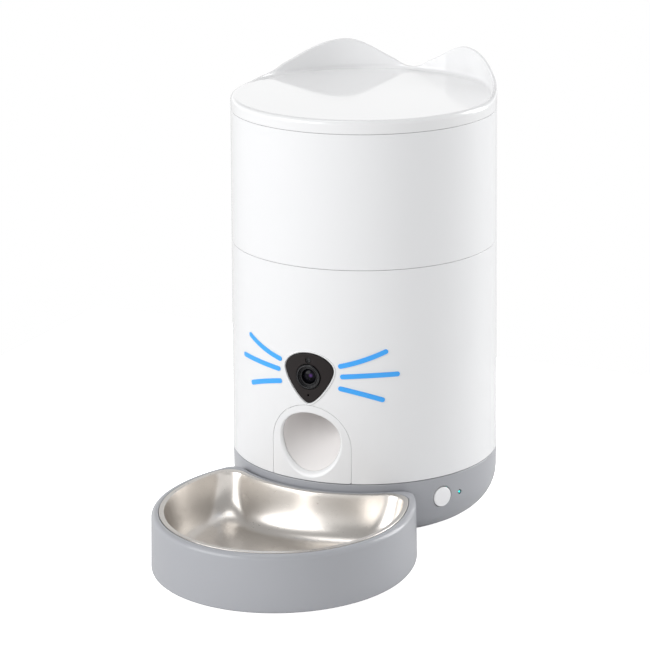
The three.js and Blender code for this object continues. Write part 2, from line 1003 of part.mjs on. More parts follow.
// A ring of the housing wall between two offsets from its outside, over a span of heights.
function wallRing(outside, inside, bottom, top) {
  return turned([
    [radiusAt(bottom) + outside, bottom],
    [radiusAt(top) + outside, top],
    [radiusAt(top) - inside, top],
    [radiusAt(bottom) - inside, bottom],
  ]);
}

function frontCutter(shape, curveSegments) {
  return pushedAlongY(shape, -body.seamRadius - overrun, -body.seamRadius / 2, curveSegments);
}

function deckScrewPlaces() {
  const radius = radiusAt(level.deckTop) - body.wall - deck.bossRadius + deck.bossSunk;
  return deck.bossAzimuths.map((azimuth) => around(azimuth, radius, 0));
}

function deckBosses() {
  const top = level.deckTop - deck.flange - touchGap;
  return deckScrewPlaces().map(({ x, y }) => (
    post(deck.bossRadius, x, y, top - deck.bossLength, top, tinySteps)
  ));
}

function screwHoles(bottom, top, radius) {
  return deckScrewPlaces().map(({ x, y }) => post(radius, x, y, bottom, top, tinySteps));
}

function lowerHousing() {
  const bottom = level.baseTop + body.seamGap / 2;
  const top = level.housingTop - body.seamGap / 2;
  const lip = seamLip(level.housingTop);
  const rimEnd = level.housingTop - body.rimDepth - body.rimSlope;
  const shell = turned([
    [radiusAt(bottom), bottom],
    [radiusAt(top), top],
    [lip.outer, top],
    [lip.outer, level.housingTop + body.lipHeight],
    [lip.inner, level.housingTop + body.lipHeight],
    [lip.inner, level.housingTop - body.rimDepth],
    [radiusAt(rimEnd) - body.wall, rimEnd],
    [radiusAt(bottom) - body.wall, bottom],
  ]);
  const boss = level.deckTop - deck.flange - touchGap;
  return cut(
    join(shell, ...deckBosses()),
    frontCutter(archShape(0), smallSteps),
    frontCutter(noseShape(touchGap), nose.curveSteps),
    ...screwHoles(boss - deck.screwLength, boss + overrun, deck.screwRadius + touchGap),
  );
}

// Chute: a trough with a round floor that slopes from under the rotor chamber to the mouth

const mouthLevel = level.baseTop + mouth.height;
const chuteBack = -outletBack + touchGap + deck.floor / 2;
const chuteSlope = (level.deckUnder - chute.backDrop - (mouthLevel - mouth.radius)) / (body.seamRadius + chuteBack);

// Leans a form pushed along Y so that it climbs towards the back as the chute's floor does.
function leaned(geometry) {
  const lean = new THREE.Matrix4().set(
    1, 0, 0, 0,
    0, 1, 0, 0,
    0, chuteSlope, 1, chuteSlope * body.seamRadius,
    0, 0, 0, 1,
  );
  return geometry.applyMatrix4(lean);
}

function troughShape(radius) {
  const shape = new THREE.Shape();
  shape.moveTo(radius, mouthLevel + chute.uTall);
  shape.lineTo(-radius, mouthLevel + chute.uTall);
  shape.lineTo(-radius, mouthLevel);
  shape.absarc(0, mouthLevel, radius, Math.PI, Math.PI * 2, false);
  return shape;
}

// The space under the chute's ceiling, seen from the side, with the walls moved out by a margin.
function chuteSide(margin, top) {
  const ceiling = mouthLevel + mouth.radius + chute.ceiling + margin;
  const dropFront = -outletFront - chute.frontGap - margin;
  return outline([
    [-body.seamRadius - overrun, level.floor],
    [chuteBack + margin, level.floor],
    [chuteBack + margin, top],
    [dropFront, top],
    [dropFront, ceiling],
    [-body.seamRadius - overrun, ceiling],
  ]);
}

function chutePiece() {
  const top = level.deckUnder - touchGap;
  const front = -body.seamRadius - overrun;
  const back = chuteBack + overrun * 2;
  const outerTrough = leaned(pushedAlongY(troughShape(mouth.radius + chute.wall), front, back, tinySteps));
  const innerTrough = leaned(pushedAlongY(troughShape(mouth.radius), front - overrun, back, tinySteps));
  const outer = common(outerTrough, pushedAlongX(chuteSide(chute.wall, top), body.seamRadius));
  const inner = common(innerTrough, pushedAlongX(chuteSide(0, top + overrun), body.seamRadius));
  const room = turned([
    [0, level.floor],
    [radiusAt(level.baseTop) - body.wall - touchGap, level.floor],
    [radiusAt(level.deckTop) - body.wall - touchGap, level.deckTop],
    [0, level.deckTop],
  ]);
  return common(cut(outer, inner), room);
}

function mouthPanel() {
  const bottom = level.baseTop + body.seamGap / 2;
  const top = mouthLevel + mouth.radius + mouth.archMargin + overrun;
  const plate = common(wallRing(0, body.wall, bottom, top), frontCutter(archShape(-mouth.seam), smallSteps));
  const hole = new THREE.Shape().absarc(0, mouthLevel, mouth.radius, 0, Math.PI * 2, false);
  const bore = leaned(frontCutter(hole, middleSteps));
  const face = -body.seamRadius;
  const flare = turnedAlongY([
    [0, face - overrun],
    [mouth.radius + mouth.lipChamfer + overrun, face - overrun],
    [mouth.radius, face + mouth.lipChamfer],
    [0, face + mouth.lipChamfer],
  ], mouthLevel, middleSteps);
  return cut(plate, bore, flare);
}

function dropSensor(side) {
  const inside = mouth.radius + chute.wall + touchGap;
  const middle = -(outletFront + outletBack) / 2;
  const top = level.deckUnder - touchGap * 2;
  const half = button.switchWidth / 2;
  const near = side > 0 ? inside : -inside - button.switchWidth;
  return block([near, middle - half, top - button.switchWidth], [near + button.switchWidth, middle + half, top]);
}

// Camera in the nose

const cameraLevel = noseSide - camera.sideDrop;
const noseFace = -radiusAt(cameraLevel);
const barrelBack = noseFace + camera.barrelLength;

function cameraBezel() {
  const bottom = noseSide - nose.drop - nose.flangeGrow - overrun;
  const top = noseSide + nose.rise + nose.flangeGrow + overrun;
  const flangeFace = body.wall + touchGap;
  const plate = common(wallRing(nose.proud, nose.depth, bottom, top), frontCutter(noseShape(0), nose.curveSteps));
  const flange = common(
    wallRing(-flangeFace, flangeFace + nose.flangeThickness, bottom, top),
    frontCutter(noseShape(nose.flangeGrow), nose.curveSteps),
  );
  const back = barrelBack - touchGap;
  const posts = [-1, 1].map((side) => barAlongY(
    camera.postRadius, side * camera.postSpread, cameraLevel + camera.postRise, noseFace + body.wall, back, tinySteps,
  ));
  const front = noseFace - overrun;
  const behind = noseFace + flangeFace + nose.flangeThickness + overrun * 2;
  return cut(
    join(plate, flange, ...posts),
    barAlongY(camera.barrelRadius + touchGap, 0, cameraLevel, front, behind, middleSteps),
    barAlongY(camera.sensorRadius + touchGap, 0, cameraLevel + camera.sensorRise, front, behind),
    barAlongY(camera.micHole, 0, cameraLevel - camera.micDrop, front, behind, tinySteps),
  );
}

function lensBarrel() {
  const face = noseFace - camera.barrelProud;
  const throat = face + camera.funnelDepth;
  const bore = camera.glassRadius + touchGap;
  return turnedAlongY([
    [bore, barrelBack],
    [camera.barrelRadius, barrelBack],
    [camera.barrelRadius, face + camera.barrelWall / 2],
    [camera.barrelFace, face],
    [camera.barrelMouth, face + camera.barrelWall / 4],
    [bore + camera.barrelWall / 2, throat],
    [bore, throat],
  ], cameraLevel);
}

function lensGlass() {
  const face = noseFace - camera.barrelProud + camera.funnelDepth;
  return turnedAlongY([
    [0, face - camera.glassSag],
    [camera.glassRadius * Math.SQRT1_2, face - camera.glassSag / 2],
    [camera.glassRadius, face],
    [camera.glassRadius, face + camera.glassDepth],
    [0, face + camera.glassDepth],
  ], cameraLevel, smallSteps);
}

function cameraBoard() {
  const front = barrelBack + touchGap;
  const back = front + camera.boardThickness;
  const half = camera.boardWidth / 2;
  const plate = block([-half, front, cameraLevel - half], [half, back, cameraLevel + half]);
  const chipHalf = camera.chipWidth / 2;
  const chip = block(
    [-chipHalf, back - camera.boardThickness / 2, cameraLevel - camera.chipOffset - chipHalf],
    [chipHalf, back + camera.chipThickness, cameraLevel - camera.chipOffset + chipHalf],
  );
  const sensorHalf = chipHalf / 2;
  const sensor = block(
    [-sensorHalf, front - camera.chipThickness, cameraLevel - sensorHalf],
    [sensorHalf, front + camera.boardThickness / 2, cameraLevel + sensorHalf],
  );
  return join(plate, chip, sensor);
}

function lightSensor() {
  const height = cameraLevel + camera.sensorRise;
  const front = -radiusAt(height);
  return barAlongY(camera.sensorRadius, 0, height, front, front + camera.sensorDepth);
}

function microphone() {
  const height = cameraLevel - camera.micDrop;
  const front = -radiusAt(height) + body.wall + nose.flangeThickness + touchGap * 2;
  return barAlongY(camera.micRadius, 0, height, front, front + camera.micDepth);
}

// A strip with round ends that lies on the housing and bows a little up or down.
function whiskerStrip(side, index) {
  const inner = radiusAt(level.baseTop) * radians(whisker.innerAzimuths[index]);
  const outer = radiusAt(level.baseTop) * radians(whisker.outerAzimuths[index]);
  const start = new THREE.Vector2(inner, noseRise + whisker.innerRises[index]);
  const end = new THREE.Vector2(outer, noseRise + whisker.outerRises[index]);
  const bend = start.clone().lerp(end, 1 / 2).add(new THREE.Vector2(0, whisker.sags[index]));
  const line = new THREE.QuadraticBezierCurve(start, bend, end);
  const length = line.getLength();
  const half = whisker.width / 2;
  const rings = Array.from({ length: whisker.stations + 1 }, (_, i) => {
    const along = (1 - Math.cos(Math.PI * i / whisker.stations)) / 2;
    const fromEnd = Math.min(along, 1 - along) * length;
    const reach = Math.min(fromEnd / half, 1);
    const spread = half * Math.sqrt(1 - (1 - reach) ** 2);
    const middle = line.getPointAt(along);
    const across = line.getTangentAt(along).rotateAround(new THREE.Vector2(), Math.PI / 2);
    const lift = touchGap + whisker.thickness;
    if (spread < weldDistance) return [onHousing(side, middle, touchGap + whisker.thickness / 2)];
    const above = middle.clone().addScaledVector(across, spread);
    const below = middle.clone().addScaledVector(across, -spread);
    return [
      onHousing(side, above, touchGap), onHousing(side, above, lift),
      onHousing(side, below, lift), onHousing(side, below, touchGap),
    ];
  });
  return lofted(rings);
}

// A place on the housing, from its distance round the wall and its height over the base.
function onHousing(side, place, lift) {
  const height = level.baseTop + place.y;
  const azimuth = THREE.MathUtils.radToDeg(place.x / radiusAt(level.baseTop));
  return around(side * azimuth, radiusAt(height) + lift, height);
}

// Rotor deck: the floor under the tank, with the round chamber that the paddle wheel turns in

function rotorDeck() {
  const flangeUnder = level.deckTop - deck.flange;
  const reach = radiusAt(level.deckTop) - body.wall - touchGap;
  const dish = turned([
    [0, level.chamberFloor],
    [deck.chamberRadius, level.chamberFloor],
    [deck.chamberRadius, level.deckTop],
    [reach, level.deckTop],
    [reach, flangeUnder],
    [deck.chamberRadius + deck.chamberWall, flangeUnder],
    [deck.chamberRadius + deck.chamberWall, level.deckUnder],
    [0, level.deckUnder],
  ]);
  const outlet = block(
    [-outletHalfWidth, -outletFront, level.deckUnder - overrun],
    [outletHalfWidth, -outletBack, level.chamberFloor + overrun],
  );
  return cut(
    dish,
    outlet,
    post(deck.shaftHole, 0, 0, level.deckUnder - overrun, level.chamberFloor + overrun),
    ...screwHoles(flangeUnder - overrun, level.deckTop + overrun, deck.screwRadius + touchGap),
  );
}

function deckScrew({ x, y }) {
  const seat = level.deckTop + touchGap;
  const end = seat - deck.flange - deck.screwLength + touchGap * 2;
  return join(
    post(deck.screwHead, x, y, seat, seat + deck.screwHeadHeight, tinySteps),
    post(deck.screwRadius, x, y, end, seat + deck.screwHeadHeight / 2, tinySteps),
  );
}

function shaftBush() {
  const seat = level.chamberFloor + touchGap;
  return turned([
    [bush.inner, level.coverUnder],
    [bush.outer, level.coverUnder],
    [bush.outer, seat],
    [bush.flange, seat],
    [bush.flange, seat + bush.flangeThickness],
    [bush.inner, seat + bush.flangeThickness],
  ], smallSteps);
}

// Gearbox: two pairs of spur gears in line behind the chute, driven by the motor below

// The outline of a gear; the first tooth points along an angle in degrees.
function gearShape(teeth, firstTooth) {
  const pitch = gear.module * teeth / 2;
  const root = pitch - gear.module * gear.dedendumShare;
  const tip = pitch + gear.module;
  const rootHalf = gear.module * gear.rootHalfShare / root;
  const tipHalf = gear.module * gear.tipHalfShare / tip;
  const points = Array.from({ length: teeth }, (_, i) => {
    const middle = radians(firstTooth) + 2 * Math.PI * i / teeth;
    return [[root, -rootHalf], [tip, -tipHalf], [tip, tipHalf], [root, rootHalf]].map(([radius, turn]) => [
      radius * Math.cos(middle + turn), radius * Math.sin(middle + turn),
    ]);
  });
  return outline(points.flat());
}

function slotShape(radius, length) {
  const shape = new THREE.Shape();
  shape.absarc(0, 0, radius, Math.PI, Math.PI * 2, false);
  shape.absarc(0, length, radius, 0, Math.PI, false);
  return shape;
}

function gearboxHousing() {
  const room = wheelRadius + gear.module + gearbox.clearance;
  const length = gearSpacing * 2 - pinionRadius;
  const bearingTop = level.boxFloor + gearbox.floor + gearbox.bearingHeight;
  const bearing = post(gear.shaftRadius + slideGap + gearbox.bearingWall, 0, 0, level.boxFloor, bearingTop);
  const shell = cut(
    pushedUp(slotShape(room + gearbox.wall, length), level.boxFloor, level.boxTop, tinySteps),
    pushedUp(slotShape(room, length), level.boxFloor + gearbox.floor, level.boxTop + overrun, tinySteps),
  );
  const mid = level.boxFloor + gearbox.floor / 2;
  return cut(
    join(shell, bearing),
    post(gear.shaftRadius + slideGap, 0, 0, mid, bearingTop + overrun),
    post(gear.idlerPin + touchGap, 0, gearSpacing, mid, level.boxTop),
    post(gear.pinionShaft + slideGap, 0, gearSpacing * 2, level.boxFloor - overrun, level.boxTop),
  );
}

function gearboxCover() {
  const room = wheelRadius + gear.module + gearbox.clearance + gearbox.wall;
  const length = gearSpacing * 2 - pinionRadius;
  return cut(
    pushedUp(slotShape(room, length), level.coverUnder, level.coverTop, tinySteps),
    post(bush.outer + touchGap, 0, 0, level.coverUnder - overrun, level.coverTop + overrun),
    post(gear.idlerPin + touchGap, 0, gearSpacing, level.coverUnder - overrun, level.coverTop + overrun),
  );
}

function idlerPin() {
  const bottom = level.boxFloor + gearbox.floor / 2 + touchGap;
  return post(gear.idlerPin, 0, gearSpacing, bottom, level.coverTop);
}

function idlerGear() {
  const toothGap = 180 / gear.pinionTeeth;
  const wheel = pushedUp(gearShape(gear.wheelTeeth, 90), level.wheelUnder, level.wheelTop);
  const pinion = pushedUp(gearShape(gear.pinionTeeth, toothGap - 90), level.wheelTop - overrun, level.outputTop);
  const bore = post(gear.idlerBore, 0, 0, level.boxFloor, level.boxTop);
  return cut(join(wheel, pinion), bore).translate(0, gearSpacing, 0);
}

function motorPinion() {
  const toothGap = 180 / gear.pinionTeeth;
  const teeth = pushedUp(gearShape(gear.pinionTeeth, toothGap - 90), level.wheelUnder, level.wheelTop);
  const shaft = post(gear.pinionShaft, 0, 0, level.boxFloor - motor.shaftPlunge, level.wheelTop + gear.hubGap);
  return join(teeth, shaft).translate(0, gearSpacing * 2, 0);
}

function driveMotor() {
  const top = level.boxFloor - touchGap;
  const bottom = top - motor.length;
  const can = turned([
    [0, bottom - motor.tailLength],
    [motor.tailRadius, bottom - motor.tailLength],
    [motor.tailRadius, bottom],
    [motor.radius, bottom],
    [motor.radius, top],
    [motor.shaftHole, top],
    [motor.shaftHole, top - motor.shaftPlunge - slideGap],
    [0, top - motor.shaftPlunge - slideGap],
  ], middleSteps);
  const slab = block(
    [-motor.flatHalfWidth, -motor.radius - overrun, bottom - motor.tailLength - overrun],
    [motor.flatHalfWidth, motor.radius + overrun, top + overrun],
  );
  return common(can, slab).translate(0, gearSpacing * 2, 0);
}

// A round shaft with one flat, and the bore that fits it.
function flattedShaft(radius, flat, bottom, top) {
  const half = radius + overrun;
  return cut(
    post(radius, 0, 0, bottom, top, smallSteps),
    block([-half, flat, bottom - overrun], [half, half, top + overrun]),
  );
}

function outputGear() {
  const teeth = pushedUp(gearShape(gear.wheelTeeth, 90), level.outputUnder, level.outputTop);
  const bore = flattedShaft(
    gear.shaftRadius + touchGap, gear.shaftFlat + touchGap, level.outputUnder - overrun, level.outputTop + overrun,
  );
  return cut(teeth, bore);
}

const rotorFloor = level.chamberFloor + rotor.floorGap;
const shaftTop = rotorFloor + rotor.shaftRise;

function driveShaft() {
  const bottom = level.boxFloor + gearbox.floor / 2 + touchGap;
  return join(
    post(gear.shaftRadius, 0, 0, bottom, level.outputUnder, smallSteps),
    flattedShaft(gear.shaftRadius, gear.shaftFlat, level.outputUnder - gearbox.bearingHeight, shaftTop),
  );
}

function paddleWheel() {
  const top = rotorFloor + rotor.vaneHeight;
  const hub = turned([
    [0, rotorFloor],
    [rotor.hubRadius, rotorFloor],
    [rotor.hubRadius, top],
    [rotor.hubTopRadius, top + rotor.hubRise],
    [0, top + rotor.hubRise],
  ], middleSteps);
  const vanes = Array.from({ length: rotor.vaneCount }, (_, i) => block(
    [rotor.hubRadius / 2, -rotor.vaneThickness / 2, rotorFloor],
    [vaneReach, rotor.vaneThickness / 2, top],
  ).rotateZ(2 * Math.PI * i / rotor.vaneCount));
  const bore = flattedShaft(
    gear.shaftRadius + touchGap, gear.shaftFlat + touchGap, rotorFloor - overrun, shaftTop + touchGap,
  );
  const bushRoom = post(bush.flange + slideGap, 0, 0, rotorFloor - overrun, level.chamberFloor + rotor.floorGap + slideGap);
  return cut(join(hub, ...vanes), bore, bushRoom);
}

// A soft star over the vanes, whose ends hang down and wipe the chamber's wall.
function softWiper() {
  const seat = rotorFloor + rotor.vaneHeight + touchGap;
  const top = seat + rotor.tipThickness;
  const collar = turned([
    [rotor.hubRadius, seat],
    [rotor.hubRadius + rotor.collarWidth, seat],
    [rotor.hubRadius + rotor.collarWidth, top],
    [rotor.hubRadius, top],
  ], middleSteps);
  const halfThickness = rotor.tipThickness / 2;
  const arms = Array.from({ length: rotor.vaneCount }, (_, i) => {
    const start = rotor.hubRadius + rotor.collarWidth / 2;
    const arm = block([start, -halfThickness, seat], [tipReach, halfThickness, top]);
    const blade = block([vaneReach + touchGap, -halfThickness, rotorFloor], [tipReach, halfThickness, top]);
    return join(arm, blade).rotateZ(2 * Math.PI * i / rotor.vaneCount);
  });
  return join(collar, ...arms);
}

// Tank: a white outer shell and the food hopper that hangs in it

const flangeTop = level.tankTop - hopper.flangeDrop;

function tankShell() {
  const bottom = level.housingTop + body.seamGap / 2;
  const top = level.tankTop - body.seamGap / 2;
  const ledgeTop = flangeTop - hopper.flangeThickness - touchGap;
  const ledgeUnder = ledgeTop - hopper.ledgeDepth;
  return turned([
    [radiusAt(bottom), bottom],
    [radiusAt(top), top],
    [radiusAt(top) - body.wall, top],
    [radiusAt(ledgeTop) - body.wall, ledgeTop],
    [hopper.radius + touchGap * 2, ledgeTop],
    [hopper.radius + touchGap * 2, ledgeUnder + hopper.ledgeWidth / 2],
    [radiusAt(ledgeUnder) - body.wall, ledgeUnder - hopper.ledgeWidth / 2],
    [radiusAt(bottom) - body.wall, bottom],
  ]);
}

function hopperPiece() {
  const coneTop = level.housingTop + hopper.coneTop;
  const coneEnd = level.deckTop + hopper.neckRise;
  const neckEnd = level.deckTop - hopper.neckPlunge;
  const inner = hopper.radius - hopper.wall;
  const neckInner = neckRadius - hopper.wall;
  const flangeUnder = flangeTop - hopper.flangeThickness;
  const funnel = turned([
    [neckInner, neckEnd],
    [neckRadius, neckEnd],
    [neckRadius, coneEnd],
    [hopper.radius, coneTop],
    [hopper.radius, flangeUnder],
    [hopper.flangeReach, flangeUnder],
    [hopper.flangeReach, flangeTop],
    [inner, flangeTop],
    [inner, coneTop + hopper.wall / 2],
    [neckInner, coneEnd + hopper.wall / 2],
  ]);
  return join(funnel, hopperBaffle(neckEnd));
}

// The plate that keeps the food from falling straight into the outlet.
function hopperBaffle(neckEnd) {
  const reach = neckRadius - hopper.wall / 2;
  const turnBack = -90;
  const outer = arc([0, 0], reach, turnBack - hopper.baffleSpread, turnBack + hopper.baffleSpread, hopper.baffleSteps);
  const inner = arc([0, 0], hopper.baffleInner, turnBack + hopper.baffleSpread, turnBack - hopper.baffleSpread, hopper.baffleSteps);
  return pushedUp(outline([...outer, ...inner]), neckEnd, neckEnd + hopper.baffleThickness);
}

// Lid: a glossy shell whose rim rises into two ears at the back, with a liner, a seal and a desiccant box

// How far the rim rises over the lid's top at an azimuth: a low wall round the back, with a raised
// cosine for each ear that spreads further to the front than to the back.
function earHeight(azimuth) {
  const turn = Math.min(azimuth, 360 - azimuth);
  const start = THREE.MathUtils.smoothstep(turn, ear.riseStart, ear.riseEnd);
  const low = ear.lowWall * start;
  const spread = turn < ear.azimuth ? ear.frontSpread : ear.backSpread;
  const away = Math.min(Math.abs(turn - ear.azimuth) / spread, 1);
  return low + (ear.height - ear.lowWall) * Math.cos(away * Math.PI / 2) ** 2;
}

function lidShell() {
  const outer = radiusAt(level.tankTop);
  const crest = outer - ear.crestWall / 2;
  const bandBottom = level.tankTop + body.seamGap / 2;
  const inner = outer - body.wall;
  const underside = level.lidTop - lid.skin;
  const foot = crest - ear.crestWall / 2 - ear.edgeRound;
  const rise = [
    [foot - ear.fillet, 0, 0],
    [foot, ear.edgeRound * ear.footDipShare, ear.footRiseShare],
    [foot + ear.edgeRound / 2, ear.edgeRound * ear.filletDipShare, ear.filletRiseShare],
    [crest - ear.crestWall / 2, ear.edgeRound * ear.innerDipShare, ear.crestEdgeRiseShare],
    [crest, ear.edgeRound * ear.crestDipShare, 1],
    [outer, ear.edgeRound, ear.crestEdgeRiseShare],
  ];
  const ring = (radius, heightAt) => Array.from({ length: lid.steps }, (_, i) => {
    const azimuth = 360 * i / lid.steps;
    return around(azimuth, radius, heightAt(azimuth));
  });
  return lofted([
    [new THREE.Vector3(0, 0, level.lidTop + lid.dome)],
    ...rise.map(([radius, dip, riseShare]) => (
      ring(radius, (azimuth) => level.lidTop - dip + earHeight(azimuth) * riseShare)
    )),
    ring(outer, () => bandBottom),
    ring(inner, () => bandBottom),
    ring(inner, () => underside),
    [new THREE.Vector3(0, 0, underside)],
  ]);
}

const linerUnder = flangeTop + lid.linerRise;
const linerTop = linerUnder + lid.linerThickness;
const skirtEnd = linerUnder - lid.skirtDepth;

function lidLiner() {
  const lidUnderside = level.lidTop - lid.skin - touchGap;
  const stiffenerInner = lid.stiffenerRadius - lid.stiffenerWall;
  return turned([
    [0, linerTop],
    [stiffenerInner, linerTop],
    [stiffenerInner, lidUnderside],
    [lid.stiffenerRadius, lidUnderside],
    [lid.stiffenerRadius, linerTop],
    [lid.linerReach, linerTop],
    [lid.linerReach, linerUnder],
    [lid.skirtRadius, linerUnder],
    [lid.skirtRadius, skirtEnd],
    [lid.skirtRadius - lid.skirtWall, skirtEnd],
    [lid.skirtRadius - lid.skirtWall, linerUnder],
    [0, linerUnder],
  ]);
}

function lidSeal() {
  const inner = lid.skirtRadius + touchGap;
  const outer = hopper.radius - hopper.wall - touchGap;
  const top = linerUnder - lid.sealDrop;
  return turned([
    [inner, top - lid.sealHeight],
    [outer, top - lid.sealHeight / 2],
    [outer, top],
    [inner, top],
  ]);
}

const desiccantTop = linerUnder - touchGap;
const desiccantEnd = desiccantTop - desiccant.depth;

function desiccantBox() {
  return turned([
    [0, desiccantTop],
    [desiccant.radius, desiccantTop],
    [desiccant.radius, desiccantEnd],
    [desiccant.radius - desiccant.wall, desiccantEnd],
    [desiccant.radius - desiccant.wall, desiccantTop - desiccant.wall],
    [0, desiccantTop - desiccant.wall],
  ], middleSteps);
}

function desiccantCap() {
  const top = desiccantEnd - touchGap;
  const bottom = top - desiccant.capFloor;
  const cup = turned([
    [0, bottom],
    [desiccant.capRadius, bottom],
    [desiccant.capRadius, top + desiccant.capOverlap],
    [desiccant.radius + desiccant.capGap, top + desiccant.capOverlap],
    [desiccant.radius + desiccant.capGap, top],
    [0, top],
  ], middleSteps);
  const slots = Array.from({ length: desiccant.slotCount }, (_, i) => block(
    [desiccant.slotInner, -desiccant.slotWidth / 2, bottom - overrun],
    [desiccant.slotOuter, desiccant.slotWidth / 2, top + overrun],
  ).rotateZ(2 * Math.PI * (i + 1 / 2) / desiccant.slotCount));
  const grip = block(
    [-desiccant.gripLength / 2 * Math.SQRT2, -desiccant.gripWidth / 2, bottom - desiccant.gripHeight],
    [desiccant.gripLength / 2 * Math.SQRT2, desiccant.gripWidth / 2, bottom + desiccant.capFloor / 2],
  );
  return join(cut(cup, ...slots), grip);
}

// Tray: the grey bowl holder that fits round the front of the base, and the steel bowl in it

// The tray's outline from above, drawn as half-ellipses that meet at the widest place, with the body's
// own curve cut into the back and a round corner on each side. The inset moves it inwards.
function trayRing(inset, corner, height) {
  const halfWidth = tray.halfWidth - inset;
  const frontReach = tray.frontReach - inset;
  const backReach = tray.backReach - inset;
  const widest = body.seamRadius + tray.widestReach;
  const backRadius = body.seamRadius + tray.bodyGap + inset;
  const side = (angle) => new THREE.Vector2(halfWidth * Math.cos(angle), widest - backReach * Math.sin(angle));
  const outwards = (angle) => (
    new THREE.Vector2(Math.cos(angle) / halfWidth, -Math.sin(angle) / backReach).normalize()
  );
  const centreAt = (angle) => side(angle).addScaledVector(outwards(angle), -corner);
  let low = 0;
  let high = Math.PI / 2;
  for (let i = 0; i < largeSteps; i += 1) {
    const middle = (low + high) / 2;
    if (centreAt(middle).length() > backRadius + corner) low = middle;
    else high = middle;
  }
  const cornerCentre = centreAt(low);
  const backEnd = Math.atan2(cornerCentre.x, cornerCentre.y);
  const cornerStart = Math.atan2(-cornerCentre.y, -cornerCentre.x);
  const cornerEnd = outwards(low).angle() - Math.PI * 2;
  const half = [];
  for (let i = 0; i < tray.backSteps; i += 1) {
    const angle = backEnd * i / tray.backSteps;
    half.push(new THREE.Vector2(Math.sin(angle), Math.cos(angle)).multiplyScalar(backRadius));
  }
  for (let i = 0; i < tray.cornerSteps; i += 1) {
    const angle = cornerStart + (cornerEnd - cornerStart) * i / tray.cornerSteps;
    half.push(new THREE.Vector2(Math.cos(angle), Math.sin(angle)).multiplyScalar(corner).add(cornerCentre));
  }
  for (let i = 0; i < tray.sideSteps; i += 1) half.push(side(low * (1 - i / tray.sideSteps)));
  for (let i = 0; i <= tray.frontSteps; i += 1) {
    const angle = Math.PI / 2 * i / tray.frontSteps;
    half.push(new THREE.Vector2(halfWidth * Math.cos(angle), widest + frontReach * Math.sin(angle)));
  }
  const left = half.slice(1, -1).reverse().map((p) => new THREE.Vector2(-p.x, p.y));
  return [...half, ...left].map((p) => new THREE.Vector3(p.x, -p.y, height));
}

const trayTop = level.floor + tray.height;
const steelInset = tray.rimWidth + touchGap;
const flangeLevel = trayTop - tray.ledgeDepth + touchGap;
const steelTop = flangeLevel + bowl.steel;
const wallInset = steelInset + bowl.flangeWidth;

// The corners open up from the tray's outside to the steel bowl's rim.
function cornerAt(inset) {
  const share = Math.min(Math.max(inset, 0) / steelInset, 1);
  return tray.corner + (bowl.corner - tray.corner) * share;
}

function trayRings(points) {
  return points.map(([inset, height, corner]) => trayRing(inset, corner ?? cornerAt(inset), height));
}

// The wall of the steel bowl from its rim to its floor, moved outwards by a thickness.
function bowlWall(outwards) {
  return bowl.wallShares.map(([run, fall], i) => [
    wallInset + bowl.wallRun * run - outwards,
    steelTop - bowl.depth * fall - outwards * (1 + fall) / 2,
    bowl.corner + bowl.cornerGrow * bowl.cornerShares[i],
  ]);
}

function steelBowl() {
  return lofted(trayRings([
    ...bowlWall(bowl.steel).reverse(),
    [wallInset - bowl.steel, flangeLevel],
    [steelInset, flangeLevel],
    [steelInset + bowl.lipRound / 2, steelTop],
    [wallInset - bowl.lipRound, steelTop],
    ...bowlWall(0),
  ]));
}

function tongue(side) {
  const middle = side * tray.tongueSpread;
  return block(
    [middle - tray.tongueWidth / 2, -body.seamRadius, level.floor + tray.tongueHeight],
    [
      middle + tray.tongueWidth / 2,
      -body.baseRadius + tray.tongueReach,
      level.floor + tray.tongueHeight + tray.tongueThickness,
    ],
  );
}

function trayFootPlaces() {
  const front = -body.seamRadius - tray.footFront;
  const back = -body.seamRadius - tray.footBack;
  return [[0, front], [-tray.footSpread, back], [tray.footSpread, back]];
}

function bowlTray() {
  const clear = bowl.steel + tray.pocketGap;
  const ledgeUnder = trayTop - tray.ledgeDepth - tray.wall;
  const pocket = bowlWall(clear).slice(1);
  const under = bowlWall(clear + tray.wall).slice(1).reverse();
  const underLevel = under[0][1];
  const shell = lofted(trayRings([
    ...under,
    [tray.rimWidth, ledgeUnder],
    [tray.draft + tray.wall, ledgeUnder - tray.rimRound / 2],
    [tray.wall, level.floor],
    [tray.bottomEdge / 2, level.floor],
    [0, level.floor + tray.bottomEdge],
    [tray.draft, trayTop - tray.rimRound],
    [tray.draft + tray.rimRound / 3, trayTop - tray.rimRound / 4],
    [tray.draft + tray.rimRound, trayTop],
    [tray.rimWidth - tray.rimDip, trayTop],
    [tray.rimWidth, trayTop - tray.ledgeDepth],
    [tray.rimWidth + tray.ledgeWidth - clear, trayTop - tray.ledgeDepth],
    ...pocket,
  ]));
  const bosses = trayFootPlaces().map(([x, y]) => (
    post(tray.footBoss, x, y, level.floor, underLevel + tray.wall / 2)
  ));
  const recesses = trayFootPlaces().map(([x, y]) => (
    post(tray.footRadius + touchGap, x, y, level.floor - overrun, level.floor + tray.footSunk + touchGap)
  ));
  return cut(join(shell, tongue(-1), tongue(1), ...bosses), ...recesses);
}

